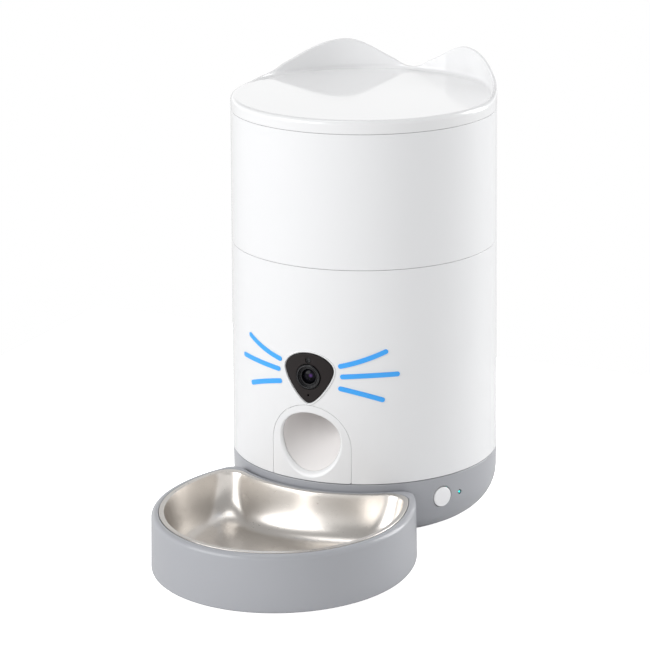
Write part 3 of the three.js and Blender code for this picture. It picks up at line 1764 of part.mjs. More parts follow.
// The camera's cable runs round the side of the chute, down to the main board.
function cameraCable() {
  const start = barrelBack + touchGap * 2 + camera.boardThickness + cable.radius;
  const stop = batteryBay.top + battery.wall + battery.postHeight + board.thickness + touchGap * 2;
  const path = new THREE.CatmullRomCurve3([
    new THREE.Vector3(camera.boardWidth / 4, start, cameraLevel + camera.chipWidth / 2),
    new THREE.Vector3(cable.aside / 2, start + cable.radius, cameraLevel),
    new THREE.Vector3(cable.aside, start + cable.back / 4, cameraLevel - cable.drop),
    new THREE.Vector3(cable.aside, start + cable.back / 2, (cameraLevel + stop) / 2),
    new THREE.Vector3(cable.aside, start + cable.back, stop + cable.tail),
    new THREE.Vector3(cable.aside, start + cable.back, stop),
  ]);
  const round = new THREE.Shape().absarc(0, 0, cable.radius, 0, Math.PI * 2, false);
  return new THREE.ExtrudeGeometry(round, { extrudePath: path, steps: smallSteps, curveSegments: cable.facets });
}

// Assembly

const placed = [
  part('base_shell', baseShell(), greyPlastic),
  ...footPlaces().map(({ x, y }, i) => (
    part(`rubber_foot_${i + 1}`, footPad(x, y, foot.radius, foot.sunk), rubber)
  )),
  part('battery_box', batteryBox(), blackPlastic),
  part('battery_door', batteryDoor(), greyPlastic),
  part('battery_contacts', batteryContacts(), sprungSteel),
  part('main_board', mainBoard(), circuitGreen),
  part('speaker', speakerUnit(), speakerBlack),
  part('power_inlet', powerInlet(), blackPlastic),
  part('feed_button', feedButton(), whitePlastic),
  part('button_board', buttonBoard(), circuitGreen),
  part('status_light', statusLight(), lightPipe),
  part('lower_housing', lowerHousing(), whitePlastic),
  part('mouth_panel', mouthPanel(), whitePlastic),
  part('food_chute', chutePiece(), innerPlastic),
  part('drop_emitter', dropSensor(-1), blackPlastic),
  part('drop_receiver', dropSensor(1), blackPlastic),
  part('camera_bezel', cameraBezel(), blackPlastic),
  part('camera_barrel', lensBarrel(), blackPlastic),
  part('camera_lens', lensGlass(), glass),
  part('camera_board', cameraBoard(), circuitGreen),
  part('camera_cable', cameraCable(), speakerBlack),
  part('light_sensor', lightSensor(), smokedPlastic),
  part('microphone', microphone(), sprungSteel),
  ...whisker.names.flatMap((name, index) => [
    part(`whisker_${name}_left`, whiskerStrip(-1, index), bluePrint),
    part(`whisker_${name}_right`, whiskerStrip(1, index), bluePrint),
  ]),
  part('rotor_deck', rotorDeck(), innerPlastic),
  ...deckScrewPlaces().map((place, i) => part(`deck_screw_${i + 1}`, deckScrew(place), sprungSteel)),
  part('shaft_bush', shaftBush(), acetal),
  part('gearbox_housing', gearboxHousing(), innerPlastic),
  part('gearbox_cover', gearboxCover(), innerPlastic),
  part('drive_motor', driveMotor(), motorSteel),
  part('motor_pinion', motorPinion(), sprungSteel),
  part('idler_pin', idlerPin(), sprungSteel),
  part('idler_gear', idlerGear(), acetal),
  part('output_gear', outputGear(), acetal),
  part('drive_shaft', driveShaft(), sprungSteel),
  part('paddle_wheel', paddleWheel(), innerPlastic),
  part('soft_wiper', softWiper(), silicone),
  part('tank_shell', tankShell(), whitePlastic),
  part('food_hopper', hopperPiece(), innerPlastic),
  part('lid_shell', lidShell(), whitePlastic),
  part('lid_liner', lidLiner(), innerPlastic),
  part('lid_seal', lidSeal(), silicone),
  part('desiccant_box', desiccantBox(), innerPlastic),
  part('desiccant_cap', desiccantCap(), innerPlastic),
  part('bowl_tray', bowlTray(), greyPlastic),
  ...trayFootPlaces().map(([x, y], i) => (
    part(`tray_foot_${i + 1}`, footPad(x, y, tray.footRadius, tray.footSunk), rubber)
  )),
  part('steel_bowl', steelBowl(), steel),
];

const frontReach = body.seamRadius + tray.widestReach + tray.frontReach;
const feeder = new THREE.Group();
placed.forEach((mesh) => {
  mesh.geometry.translate(0, (frontReach - body.seamRadius) / 2, 0);
  feeder.add(mesh);
});

export default feeder;
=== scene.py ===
from math import cos, pi, radians, sin

import bmesh
import bpy
import numpy as np
from mathutils import Matrix, Vector


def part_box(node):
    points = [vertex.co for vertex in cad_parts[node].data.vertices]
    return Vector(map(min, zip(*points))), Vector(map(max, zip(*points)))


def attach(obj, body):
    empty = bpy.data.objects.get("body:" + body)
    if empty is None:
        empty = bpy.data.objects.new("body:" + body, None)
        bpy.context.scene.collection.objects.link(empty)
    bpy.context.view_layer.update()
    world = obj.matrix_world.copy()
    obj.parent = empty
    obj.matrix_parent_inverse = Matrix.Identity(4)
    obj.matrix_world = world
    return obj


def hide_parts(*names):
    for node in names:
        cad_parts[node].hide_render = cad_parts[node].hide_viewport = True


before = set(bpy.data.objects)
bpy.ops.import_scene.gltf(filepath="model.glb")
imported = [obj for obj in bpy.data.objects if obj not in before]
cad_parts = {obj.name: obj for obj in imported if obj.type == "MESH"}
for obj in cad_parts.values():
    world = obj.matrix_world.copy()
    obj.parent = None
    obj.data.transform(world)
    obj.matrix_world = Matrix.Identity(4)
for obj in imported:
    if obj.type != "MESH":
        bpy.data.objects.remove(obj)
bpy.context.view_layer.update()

tank_low, tank_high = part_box("tank_shell")
axis_y = (tank_low.y + tank_high.y) / 2
mm = 0.001

# The studio: a pale floor with no end to it, three soft lamps and a white room.
# The camera stands in front of the feeder, a little to its right and above it, on a long lens.
camera_place = Vector((0.78599, -1.68822, 0.71429))
camera_azimuth = radians(24.95)
camera_elevation = radians(16.62)
camera_roll = radians(-0.47)
camera_lens = 148.08

camera_data = bpy.data.cameras.new("camera")
camera_data.lens = camera_lens
camera_data.sensor_width = 36
camera_data.clip_start = 0.05
camera_data.clip_end = 50
camera = bpy.data.objects.new("camera", camera_data)
camera.matrix_world = (
    Matrix.Translation(camera_place) @ Matrix.Rotation(camera_azimuth, 4, "Z")
    @ Matrix.Rotation(pi / 2 - camera_elevation, 4, "X") @ Matrix.Rotation(camera_roll, 4, "Z")
)
bpy.context.collection.objects.link(camera)
bpy.context.scene.camera = camera
bpy.context.scene.view_settings.view_transform = "Standard"

aim = Vector((0, 0, 0.16))


def soft_lamp(name, place, width, height, power):
    """A rectangular lamp at a place, its face square to the line from there to the feeder's middle."""
    lamp = bpy.data.lights.new(name, "AREA")
    lamp.shape = "RECTANGLE"
    lamp.size = width
    lamp.size_y = height
    lamp.energy = power
    shown = bpy.data.objects.new(name, lamp)
    shown.location = place
    shown.rotation_euler = (aim - Vector(place)).to_track_quat("-Z", "Y").to_euler()
    bpy.context.collection.objects.link(shown)


soft_lamp("left_lamp", (-1.36, -1.9, 0.98), 2, 1.8, 34)
soft_lamp("rim_lamp", (1.24, 1.46, 0.8), 0.9, 1.6, 24)
soft_lamp("top_lamp", (-0.3, -0.2, 2.2), 0.8, 0.8, 4)


def feed(tree, node, **inputs):
    """Sets inputs of a shader node. Each takes a value or another node's output, and an underscore in
    its name stands for a space."""
    for name, value in inputs.items():
        socket = node.inputs[name.replace("_", " ")]
        if isinstance(value, bpy.types.NodeSocket):
            tree.links.new(value, socket)
        else:
            socket.default_value = value
    return node


def add(tree, kind, **inputs):
    """A new shader node of a kind, with some of its inputs set."""
    return feed(tree, tree.nodes.new("ShaderNode" + kind), **inputs)


def together(tree, kind, first, second, **inputs):
    """Two shaders mixed or added, by a node whose last two inputs take them."""
    node = add(tree, kind, **inputs)
    for source, socket in zip((first, second), node.inputs[-2:]):
        tree.links.new(source.outputs[0], socket)
    return node.outputs[0]


room = bpy.data.worlds.new("white_room")
room.use_nodes = True
bpy.context.scene.world = room
tree = room.node_tree
tree.nodes.clear()
direction = add(tree, "TexCoord").outputs["Generated"]
sky = add(tree, "ValToRGB", Fac=add(tree, "SeparateXYZ", Vector=direction).outputs["Z"])
sky.color_ramp.interpolation = "EASE"
sky.color_ramp.elements[0].color = (0.6, 0.6, 0.6, 1)
sky.color_ramp.elements[1].position = 0.5
sky.color_ramp.elements[1].color = (0.36, 0.36, 0.36, 1)
sky.color_ramp.elements.new(0.14).color = (1, 1, 1, 1)
around_light = add(tree, "Background", Color=sky.outputs[0], Strength=1.22)
seen_white = add(tree, "Background", Color=(1, 1, 1, 1))
camera_ray = add(tree, "LightPath").outputs["Is Camera Ray"]
both = together(tree, "MixShader", around_light, seen_white, Fac=camera_ray)
add(tree, "OutputWorld", Surface=both)

floor_reach = 0.45
floor_corners = [(x * floor_reach, y * floor_reach, 0) for x, y in ((-1, -1), (1, -1), (1, 1), (-1, 1))]
floor_mesh = bpy.data.meshes.new("floor")
floor_mesh.from_pydata(floor_corners, [], [(0, 1, 2, 3)])
floor = bpy.data.objects.new("floor", floor_mesh)
bpy.context.collection.objects.link(floor)
floor_paint = bpy.data.materials.new("floor_paint")
floor_paint.use_nodes = True
tree = floor_paint.node_tree
tree.nodes.clear()
matt = add(tree, "BsdfDiffuse", Color=(0.85, 0.85, 0.85, 1))
lift = add(tree, "Emission", Strength=add(tree, "LightPath").outputs["Is Camera Ray"])
add(tree, "OutputMaterial", Surface=together(tree, "AddShader", matt, lift))
floor.data.materials.append(floor_paint)

# The base: a deep grey dish moulded in one piece, with a round lower edge. The white housing
# stands on its rim and is centred by the thin lip inside. The feed button, the status light and
# the power inlet look out through holes in its wall, and the batteries go in from below.
base_bottom = 1
base_top = 47.5
tank_top = 306.7
lid_top = 316.5
seam_radius = 100
top_radius = 97.85
seam_gap = 0.26
around_steps = 288


def radius_at(height):
    """The body's outer radius, which shrinks in a straight line from the base's rim to the lid."""
    share = (height - base_top) / (tank_top - base_top)
    return seam_radius + (top_radius - seam_radius) * share


def rounded(corners, radii, steps=6):
    """A line through corners in which each corner is an arc of its radius: a rational quadratic curve
    from the tangent point before it to the one after it, weighted by the sine of half its angle.
    Two more points just outside each arc keep the flats flat."""
    corners, radii = np.asarray(corners, float), np.asarray(radii, float)[:, None]
    before = np.roll(corners, 1, 0) - corners
    after = np.roll(corners, -1, 0) - corners
    before /= np.maximum(np.linalg.norm(before, axis=-1, keepdims=True), 1e-9)
    after /= np.maximum(np.linalg.norm(after, axis=-1, keepdims=True), 1e-9)
    half = np.arccos(np.clip((before * after).sum(-1, keepdims=True), -1, 1)) / 2
    reach = radii / np.maximum(np.tan(half), 1e-6)
    weight = np.sin(half)
    start, end = corners + before * reach, corners + after * reach
    t = np.linspace(0, 1, steps)[:, None, None]
    bottom = (1 - t) ** 2 + 2 * weight * t * (1 - t) + t ** 2
    arcs = ((1 - t) ** 2 * start + 2 * weight * t * (1 - t) * corners + t ** 2 * end) / bottom
    support = 1.2 * reach
    arcs = np.concatenate([(corners + before * support)[None], arcs, (corners + after * support)[None]])
    return np.moveaxis(arcs, 0, 1).reshape(-1, 2)


def at_angle(radius, angle, height):
    """Points round the upright axis, by their angle from the front: x = radius sin a, y = -radius cos a."""
    return np.stack(np.broadcast_arrays(radius * np.sin(angle), -radius * np.cos(angle), height), -1)


def turned(profile, steps=around_steps):
    """A profile of (radius, height) turned round the upright axis."""
    return at_angle(profile[:, :1], np.linspace(0, 2 * pi, steps, endpoint=False), profile[:, 1:])


def facing_out(points, azimuth, height):
    """Points drawn round an upright axis, laid so that their +Z points out of the body at an azimuth."""
    angle = radians(azimuth)
    axes = np.array(((cos(angle), sin(angle), 0), (0, 0, 1), (sin(angle), -cos(angle), 0)))
    return points @ axes + (0, 0, height)


def piece(name, grid, closed_rows=True, sharp=35):
    """A mesh from a grid of points in millimetres round the body's axis. Each cell is a quad, and the
    columns close on themselves. So do the rows where asked, or else an open end gets one flat face.
    A row that is one point is a pole."""
    rows, columns = grid.shape[:2]
    index = np.arange(rows * columns).reshape(rows, columns)
    index = np.hstack([index, index[:, :1]])
    if closed_rows:
        index = np.vstack([index, index[:1]])
    quads = np.stack([index[:-1, :-1], index[:-1, 1:], index[1:, 1:], index[1:, :-1]], -1).reshape(-1, 4)
    mesh = bpy.data.meshes.new(name)
    mesh.from_pydata(grid.reshape(-1, 3) * mm + np.array((0, axis_y, 0)), [], quads)
    shape = bmesh.new()
    shape.from_mesh(mesh)
    bmesh.ops.remove_doubles(shape, verts=shape.verts, dist=0.002 * mm)
    bmesh.ops.holes_fill(shape, edges=[edge for edge in shape.edges if edge.is_boundary], sides=0)
    bmesh.ops.recalc_face_normals(shape, faces=shape.faces)
    shape.to_mesh(mesh)
    shape.free()
    obj = bpy.data.objects.new(name, mesh)
    bpy.context.collection.objects.link(obj)
    smooth(obj, sharp)
    return obj


def smooth(obj, sharp=35):
    """Smooth shading, with an edge kept sharp where its faces turn by more than an angle."""
    obj.data.shade_smooth()
    obj.data.set_sharp_from_angle(angle=radians(sharp))


def revolved(name, corners, radii, steps=around_steps, fine=6, middle=(0, 0, 0)):
    """A piece turned about its own upright axis from a line with rounded corners."""
    return piece(name, turned(rounded(corners, radii, fine), steps) + middle)


def revolved_out(name, azimuth, height, corners, radii, steps=32, fine=6):
    """A turned piece that points out of the body at an azimuth and a height."""
    return piece(name, facing_out(turned(rounded(corners, radii, fine), steps), azimuth, height))


def combine(obj, operation, *others, sharp=35):
    """Cuts others away from a mesh, joins them to it or keeps what both share, and removes them."""
    for other in others:
        change = obj.modifiers.new("change", "BOOLEAN")
        change.operation = operation
        change.solver = "EXACT"
        change.object = other
    bpy.context.view_layer.update()
    made = bpy.data.meshes.new_from_object(obj.evaluated_get(bpy.context.evaluated_depsgraph_get()))
    obj.modifiers.clear()
    obj.data = made
    obj.data.name = obj.name
    for other in others:
        bpy.data.objects.remove(other)
    smooth(obj, sharp)


def values_of(items, name, width=3, kind=np.float32):
    """One attribute of every item of a mesh, in rows of a width."""
    found = np.zeros(len(items) * width, kind)
    items.foreach_get(name, found)
    return found.reshape(-1, width)


def polish(obj, lift=0.0):
    """Face corners that lie on the turned wall, or lifted off it, take the turned surface's exact
    normal: outward by x and y over the radius, and up by the wall's slope."""
    mesh = obj.data
    normals = values_of(mesh.corner_normals, "vector")
    corner = values_of(mesh.loops, "vertex_index", 1, np.int32)[:, 0]
    place = values_of(mesh.vertices, "co")[corner] / mm - (0, axis_y / mm, 0)
    flat = np.hypot(place[:, 0], place[:, 1])
    slope = (top_radius - seam_radius) / (tank_top - base_top)
    outward = place[:, :2] / np.maximum(flat, 1e-6)[:, None]
    exact = np.concatenate([outward, np.full((len(outward), 1), -slope)], 1)
    exact /= np.linalg.norm(exact, axis=1, keepdims=True)
    off_wall = np.abs(flat - radius_at(place[:, 2]) - lift)
    on_wall = (off_wall < 0.03) & ((normals * exact).sum(1) > 0.9)
    normals[on_wall] = exact[on_wall]
    mesh.normals_split_custom_set(normals)


def loft(rings):
    """A closed grid through rings with one number of points: the middles of the first and the last
    ring are added as poles."""
    rings = np.asarray(rings, float)
    middles = np.broadcast_to(rings.mean(1, keepdims=True), rings.shape)
    return np.concatenate([middles[:1], rings, middles[-1:]])


def outline_normals(outline):
    """The outward normals of a closed outline that runs counter-clockwise."""
    along = np.roll(outline, -1, 0) - np.roll(outline, 1, 0)
    along /= np.maximum(np.linalg.norm(along, axis=1, keepdims=True), 1e-9)
    return np.stack([along[:, 1], -along[:, 0]], 1)


def quarter(steps):
    """A quarter turn in steps, as rows of 1 - cos a and 1 - sin a."""
    angle = np.linspace(0, pi / 2, steps)
    return np.stack([1 - np.cos(angle), 1 - np.sin(angle)], 1)


def slab(outline, low, high, edge=0.0):
    """An outline in the X-Y plane pushed up from one height to another, with both edges round: the
    outline shrinks along its normals by edge (1 - sin a) while the height runs through edge (1 - cos a)."""
    rise, inset = edge * quarter(5).T if edge else np.zeros((2, 1))
    inset = np.concatenate([inset, inset[::-1]])[:, None, None]
    height = np.concatenate([low + rise, high - rise[::-1]])[:, None]
    flat = outline - outline_normals(outline) * inset
    return loft(np.stack(np.broadcast_arrays(flat[..., 0], flat[..., 1], height), -1))


def rectangle(low, high, corner=0.0):
    """A rectangle between two corners, with its own corners rounded."""
    (x0, y0), (x1, y1) = low, high
    corners = [(x0, y0), (x1, y0), (x1, y1), (x0, y1)]
    if not corner:
        return np.array(corners, float)
    return rounded(corners, [corner] * 4).reshape(4, -1, 2)[:, 1:-1].reshape(-1, 2)


def circle(radius, middle=(0, 0), steps=48):
    """A circle, counter-clockwise."""
    angle = np.linspace(0, 2 * pi, steps, endpoint=False)
    return np.stack([middle[0] + radius * np.cos(angle), middle[1] + radius * np.sin(angle)], 1)


def around(radius, azimuth):
    """The point on the ground at a distance from the upright axis and an azimuth from the front."""
    return at_angle(radius, radians(azimuth), 0)


def block(outline, low, high, edge=0.0):
    """A slab as an object, to cut with or to join to another."""
    return piece("block", slab(outline, low, high, edge))


def new_material(name, **inputs):
    """A material with its node tree, its shader and the place on the part that its noises take."""
    material = bpy.data.materials.new(name)
    material.use_nodes = True
    tree = material.node_tree
    shader = feed(tree, tree.nodes["Principled BSDF"], **inputs)
    return material, tree, shader, add(tree, "TexCoord").outputs["Object"]


def noise(tree, place, scale, detail=2):
    """The strength of a noise of some scale at each place of the part."""
    return add(tree, "TexNoise", Vector=place, Scale=scale, Detail=detail).outputs["Fac"]


def blend(tree, factor, first, second):
    """The colour that lies between two colours by a factor."""
    mix = tree.nodes.new("ShaderNodeMix")
    mix.data_type = "RGBA"
    return feed(tree, mix, Factor=factor, A=(*first, 1), B=(*second, 1)).outputs["Result"]


def between(tree, value, low, high):
    """A value of 0 to 1 carried into the range from low to high."""
    return add(tree, "MapRange", Value=value, To_Min=low, To_Max=high).outputs["Result"]


def plastic(name, colour, shade, roughness, grain=900.0, relief=0.02, coat=0.0, **more):
    """Moulded plastic: two close tones drift over the part, and a fine grain varies its gloss and
    lifts its surface by a few hundredths of a millimetre."""
    material, tree, shader, place = new_material(name, Coat_Weight=coat, **more)
    fine = noise(tree, place, grain, 3)
    tone = blend(tree, noise(tree, place, 9), colour, shade)
    gloss = between(tree, fine, roughness * 0.85, roughness * 1.15)
    bump = add(tree, "Bump", Strength=0.25, Distance=relief * mm, Height=fine).outputs["Normal"]
    feed(tree, shader, Base_Color=tone, Roughness=gloss, Normal=bump)
    return material


def fit(obj, material, body, slot, *nodes_replaced):
    """Gives a piece its material and its body, and hides the CAD nodes it stands for. Its slot is not used.
    """
    obj.data.materials.clear()
    obj.data.materials.append(material)
    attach(obj, body)
    if nodes_replaced:
        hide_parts(*nodes_replaced)


grey_plastic = plastic(
    "satin_grey_plastic", (0.388, 0.397, 0.425), (0.403, 0.411, 0.437), 0.3, 900, 0.015, 0.2,
)

base = revolved("base_shell_fine", [
    (0, base_bottom), (99.6, base_bottom), (100, 47.25), (96.9, 47.25), (96.9, 50.9),
    (95.1, 50.9), (95.1, 41.5), (96.6, 39.5), (96.6, 4), (0, 4),
], [0, 30, 0.6, 0, 0.5, 0.5, 0, 0, 27, 0], fine=12)

button_azimuth = 58.8
light_azimuth = 68.5
button_level = 31.5
inlet_level = 30


def bore(radius, azimuth, height, flare=0.5, inner=84, outer=102, face=99.6, steps=64, turns=6, margin=0.6):
    """A cutter for a round hole that looks out of the body, with a small round flare at its face."""
    profile = np.concatenate([
        [(0, inner), (radius, inner)],
        quarter(turns) * (flare, -flare) + (radius, face),
        [(radius + flare + margin, outer), (0, outer)],
    ])
    return piece("cutter", facing_out(turned(profile, steps), azimuth, height))


cutters = [
    bore(8.1, button_azimuth, button_level),
    bore(1.7, light_azimuth, button_level, 0.25, steps=32),
    bore(5.8, 180, inlet_level, 0.4),
    block(rectangle((-55.3, -27.3), (55.3, 47.6), 2), -1, 2.9),
    block(rectangle((-51, -23), (51, 39)), -1, 6),
]
foot_circle = 62
foot_azimuths = (30, 330, 156, 204)
cutters += [block(circle(6.8, around(foot_circle, azimuth)), -1, 2.7) for azimuth in foot_azimuths]
cutters += [block(rectangle((x - 1.2, -61), (x + 1.2, -37), 1.1), -1, 6) for x in (-12, -6, 0, 6, 12)]
cutters += [block(rectangle((x - 7.6, -102), (x + 7.6, -70)), 12.4, 17.6) for x in (-30, 30)]
cutters.append(block(rectangle((-31.5, -100), (31.5, -70.7)), 47.25, 53))
combine(base, "DIFFERENCE", *cutters)
fit(base, grey_plastic, "base", "grey_plastic", "base_shell")

# The four rubber feet under the base: soft black moulded buttons with a domed face, each glued in a
# round recess, so that it stands 1 mm out of the base.
foot_rubber = plastic("matt_black_rubber", (0.035, 0.035, 0.038), (0.05, 0.05, 0.053), 0.75, 600, 0.05)
for number, azimuth in enumerate(foot_azimuths, 1):
    name = f"rubber_foot_{number}"
    foot = revolved(f"{name}_fine", [
        (0, 0.05), (5.2, 0), (6.2, 1), (6.5, 2.4), (0, 2.4),
    ], [0, 2.5, 0.8, 0.3, 0], 64, middle=around(foot_circle, azimuth))
    fit(foot, foot_rubber, "base", "foot_rubber", name)

# The feed button: a round white cap with a soft edge and a shallow dish for the fingertip, on a
# flange and a stem that reach back to the switch. It sits in its bore with an even gap round it.
gloss_white = plastic("gloss_white_plastic", (0.845, 0.85, 0.86), (0.83, 0.835, 0.848), 0.2, 700, 0.012, 0.35)
# Painted light: the cap's white is a lighter copy of the gloss white, standing for the light that falls on
# the cap.
button_painted_light_white = plastic("bright_white_plastic", (0.97, 0.97, 0.98), (0.95, 0.95, 0.965), 0.2, 700, 0.012, 0.35)
feed_button = revolved_out("feed_button_fine", button_azimuth, button_level, [
    (0, 84.9), (2.4, 84.9), (2.4, 91.8), (8.9, 91.8), (8.9, 93.2), (7.6, 93.2), (7.6, 100.1),
    (5.6, 100.1), (0, 99.9),
], [0, 0.2, 0.2, 0.3, 0.3, 0.1, 0.9, 3, 0], 96, 10)
fit(feed_button, button_painted_light_white, "feed_button", "white_shell", "feed_button")

# The status light: a clear teal pipe that carries the light of the lamp on the button's board. A black
# sleeve round it fills the hole: its black is painted shade, standing for the shadow down in the hole.
pipe_teal, tree, shader, place = new_material(
    "teal_light_pipe", Base_Color=(0.01, 0.3, 0.28, 1), Transmission_Weight=0.4,
    Emission_Color=(0.03, 0.85, 0.80, 1),
)
cloud = noise(tree, place, 900)
feed(tree, shader, Emission_Strength=between(tree, cloud, 2, 2.6), Roughness=between(tree, cloud, 0.15, 0.3))
status_light = revolved_out("status_light_fine", light_azimuth, button_level, [
    (0, 86.3), (0.6, 86.3), (0.6, 99.3), (0, 99.5),
], [0, 0.2, 0.3, 0])
fit(status_light, pipe_teal, "base", "light_pipe", "status_light")
black_plastic = plastic("satin_black_plastic", (0.022, 0.021, 0.022), (0.03, 0.029, 0.03), 0.38, 1200, 0.02)
# Painted shade: the black sleeve darkens the ring round the pipe as the hole's shadow would.
painted_shade_sleeve = revolved_out("status_light_painted_shade_sleeve", light_azimuth, button_level, [
    (0.65, 88), (1.6, 88), (1.6, 99.4), (0.65, 99.1),
], [0.1, 0.1, 0.25, 0.1])
fit(painted_shade_sleeve, black_plastic, "base", "black_plastic")

# The power inlet at the back: a black plastic socket, put in from inside until its collar meets the
# base's wall. It has a deep bore for the cable's plug and a bright metal pin.
bright_metal = plastic(
    "bright_small_metal", (0.62, 0.62, 0.63), (0.55, 0.55, 0.56), 0.22, 1500, 0.01, Metallic=1,
)
inlet = revolved_out("power_inlet_fine", 180, inlet_level, [
    (0, 83.7), (5.5, 83.7), (5.5, 95.4), (6.9, 95.4), (6.9, 96.7), (5.5, 96.7), (5.5, 98.6), (3.2, 98.6),
    (3.2, 89.6), (0, 89.6),
], [0, 0.3, 0.2, 0.3, 0.3, 0.2, 0.6, 0.4, 0.2, 0], 64)
fit(inlet, black_plastic, "base", "black_plastic", "power_inlet")
inlet_pin = revolved_out("power_inlet_pin", 180, inlet_level, [
    (0, 89.2), (1, 89.2), (1, 96.6), (0, 96.9),
], [0, 0.1, 0.6, 0])
fit(inlet_pin, bright_metal, "base", "small_metal")

# The lower housing: a white shell moulded in one piece. Its front has a pointed round opening for
# the camera's nose, ringed by a thin raised lip, and an arch down to the base for the mouth.
nose_middle = 132.6
nose_top = 144.8
nose_bottom = 107.4
nose_half_width = 18.9
arch_middle = 74
arch_radius = 31.5


def bezier(points, steps=44):
    """A cubic curve, sum of C(3, i) (1 - t)^(3 - i) t^i P_i, without its last point."""
    t = np.linspace(0, 1, steps, endpoint=False)[:, None]
    a, b, c, d = np.asarray(points, float)
    return (1 - t) ** 3 * a + 3 * (1 - t) ** 2 * t * b + 3 * (1 - t) * t ** 2 * c + t ** 3 * d


def nose_outline(grow=0.0):
    """The nose from the front: four cubic curves, round above and drawn to a soft point below."""
    width, top, bottom, side = nose_half_width + grow, nose_top + grow, nose_bottom - grow, nose_middle
    upper = side + (top - side) * 0.53
    lower = side - (side - bottom) * 0.29
    top_pull, bottom_pull = width * 0.53, width * 0.31
    return np.concatenate([
        bezier([(0, top), (-top_pull, top), (-width, upper), (-width, side)]),
        bezier([(-width, side), (-width, lower), (-bottom_pull, bottom), (0, bottom)]),
        bezier([(0, bottom), (bottom_pull, bottom), (width, lower), (width, side)]),
        bezier([(width, side), (width, upper), (top_pull, top), (0, top)]),
    ])


def arch_outline(bottom=44.0):
    """The arch from the front: straight sides under a half circle."""
    turn = np.linspace(0, pi, 97)
    rise = np.linspace(bottom, arch_middle, 16, endpoint=False)
    along = np.linspace(-arch_radius, arch_radius, 41)[1:-1]
    return np.concatenate([
        np.stack([np.full(16, arch_radius), rise], 1),
        np.stack([arch_radius * np.cos(turn), arch_middle + arch_radius * np.sin(turn)], 1),
        np.stack([np.full(16, -arch_radius), rise[::-1]], 1),
        np.stack([along, np.full(39, bottom)], 1),
    ])


def on_front(flat, lift=0.0, depth=0.0):
    """Points (x, z) on the front of the turned wall: y = depth - sqrt((radius(z) + lift)^2 - x^2)."""
    x, height = flat[..., 0], flat[..., 1]
    y = depth - np.sqrt(np.maximum((radius_at(height) + lift) ** 2 - x ** 2, 0))
    return np.stack([x, y, height], -1)


def front_cutter(outline, flare):
    """A cutter straight through the front wall, which opens at the surface by a quarter round."""
    outward = outline_normals(outline)
    opened = [on_front(outline + outward * flare * a, depth=flare * b) for a, b in quarter(6)]
    wide = outline + outward * (flare + 0.4)
    rows = [on_front(outline, depth=24), on_front(outline, depth=flare * 1.6), *opened]
    return piece("cutter", loft(rows + [on_front(wide, lift=1), on_front(wide, lift=12)]))


housing = revolved("lower_housing_fine", [
    (radius_at(47.75), 47.75), (radius_at(208.14), 208.14), (95, 208.14), (95, 211.7), (93.2, 211.7),
    (93.2, 202.3), (95.4, 200.3), (97.2, 47.75),
], [0.3, 0.28, 0.3, 0.5, 0.5, 0.5, 0.5, 0.4])
combine(housing, "DIFFERENCE", front_cutter(arch_outline(), 0.2), front_cutter(nose_outline(0.3), 0.3))
bead_section = rounded([(0.35, -0.6), (0.35, 0.75), (1.35, 0.75), (1.5, -0.6)], [0.1, 0.45, 0.45, 0.1])
bead_line = nose_outline(0.3)
bead_side = outline_normals(bead_line)
bead_rows = [on_front(bead_line + bead_side * across, lift=out) for across, out in bead_section]
combine(housing, "UNION", piece("bead", np.stack(bead_rows)))
deck_circle = radius_at(168) - 5.8
boss_azimuths = (62, 180, 298)
for azimuth in boss_azimuths:
    place = around(deck_circle, azimuth)
    boss = block(circle(4, place), 135.2, 165.2, 0.4)
    combine(boss, "DIFFERENCE", block(circle(1.9, place, 32), 153.5, 168))
    combine(housing, "UNION", boss)
polish(housing)
fit(housing, gloss_white, "base", "white_shell", "lower_housing")

# The mouth's panel: a white arch let into the housing with a hairline seam. The round mouth has a
# thick soft lip, and its bore leans back and up into the chute.
mouth_middle = 74.9
mouth_radius = 23.1
mouth_lip = 2.2
mouth_flare = 0.5
chute_slope = 0.859
corner_turn = 0.727
around_mouth = np.concatenate([
    np.linspace(0, pi, 97)[:-1],
    np.linspace(pi, pi + corner_turn, 21)[:-1],
    np.linspace(pi + corner_turn, 2 * pi - corner_turn, 49)[:-1],
    np.linspace(2 * pi - corner_turn, 2 * pi, 21)[:-1],
])
panel_bottom = 47.85


def mouth_ring(radius, depth):
    """The leaned bore: a circle of the given radius, a little wider at the surface, raised by slope
    (y + 100) where the wall is."""
    wide = radius + mouth_flare * max(1 - depth / mouth_lip, 0)
    flat = np.stack([wide * np.cos(around_mouth), mouth_middle + radius * np.sin(around_mouth)], 1)
    placed = on_front(flat, depth=depth)
    placed[:, 2] += chute_slope * (placed[:, 1] + 100)
    return placed


def arch_ring(inset, depth=0.0):
    """The panel's edge at each angle round the mouth: a ray out to the half circle, the sides or the
    bottom, drawn in by an inset."""
    reach = arch_radius - 0.22 - inset
    across, rise = np.cos(around_mouth), np.sin(around_mouth)
    drop = mouth_middle - panel_bottom - inset
    lower = np.minimum(reach / np.maximum(np.abs(across), 1e-6), drop / np.maximum(-rise, 1e-6))
    offset = mouth_middle - arch_middle
    upper = -offset * rise + np.sqrt((offset * rise) ** 2 + reach ** 2 - offset ** 2)
    far = np.where(rise > 0, upper, lower)
    flat = np.stack([far * across, mouth_middle + far * rise], 1)
    return on_front(flat, depth=depth)


def rows_between(inner, outer, shares, lift=0.0):
    """Rows on the front wall at shares of the way from an inner row to an outer one."""
    inner, outer = inner[:, [0, 2]], outer[:, [0, 2]]
    return [on_front(inner * (1 - share) + outer * share, lift=lift) for share in shares]


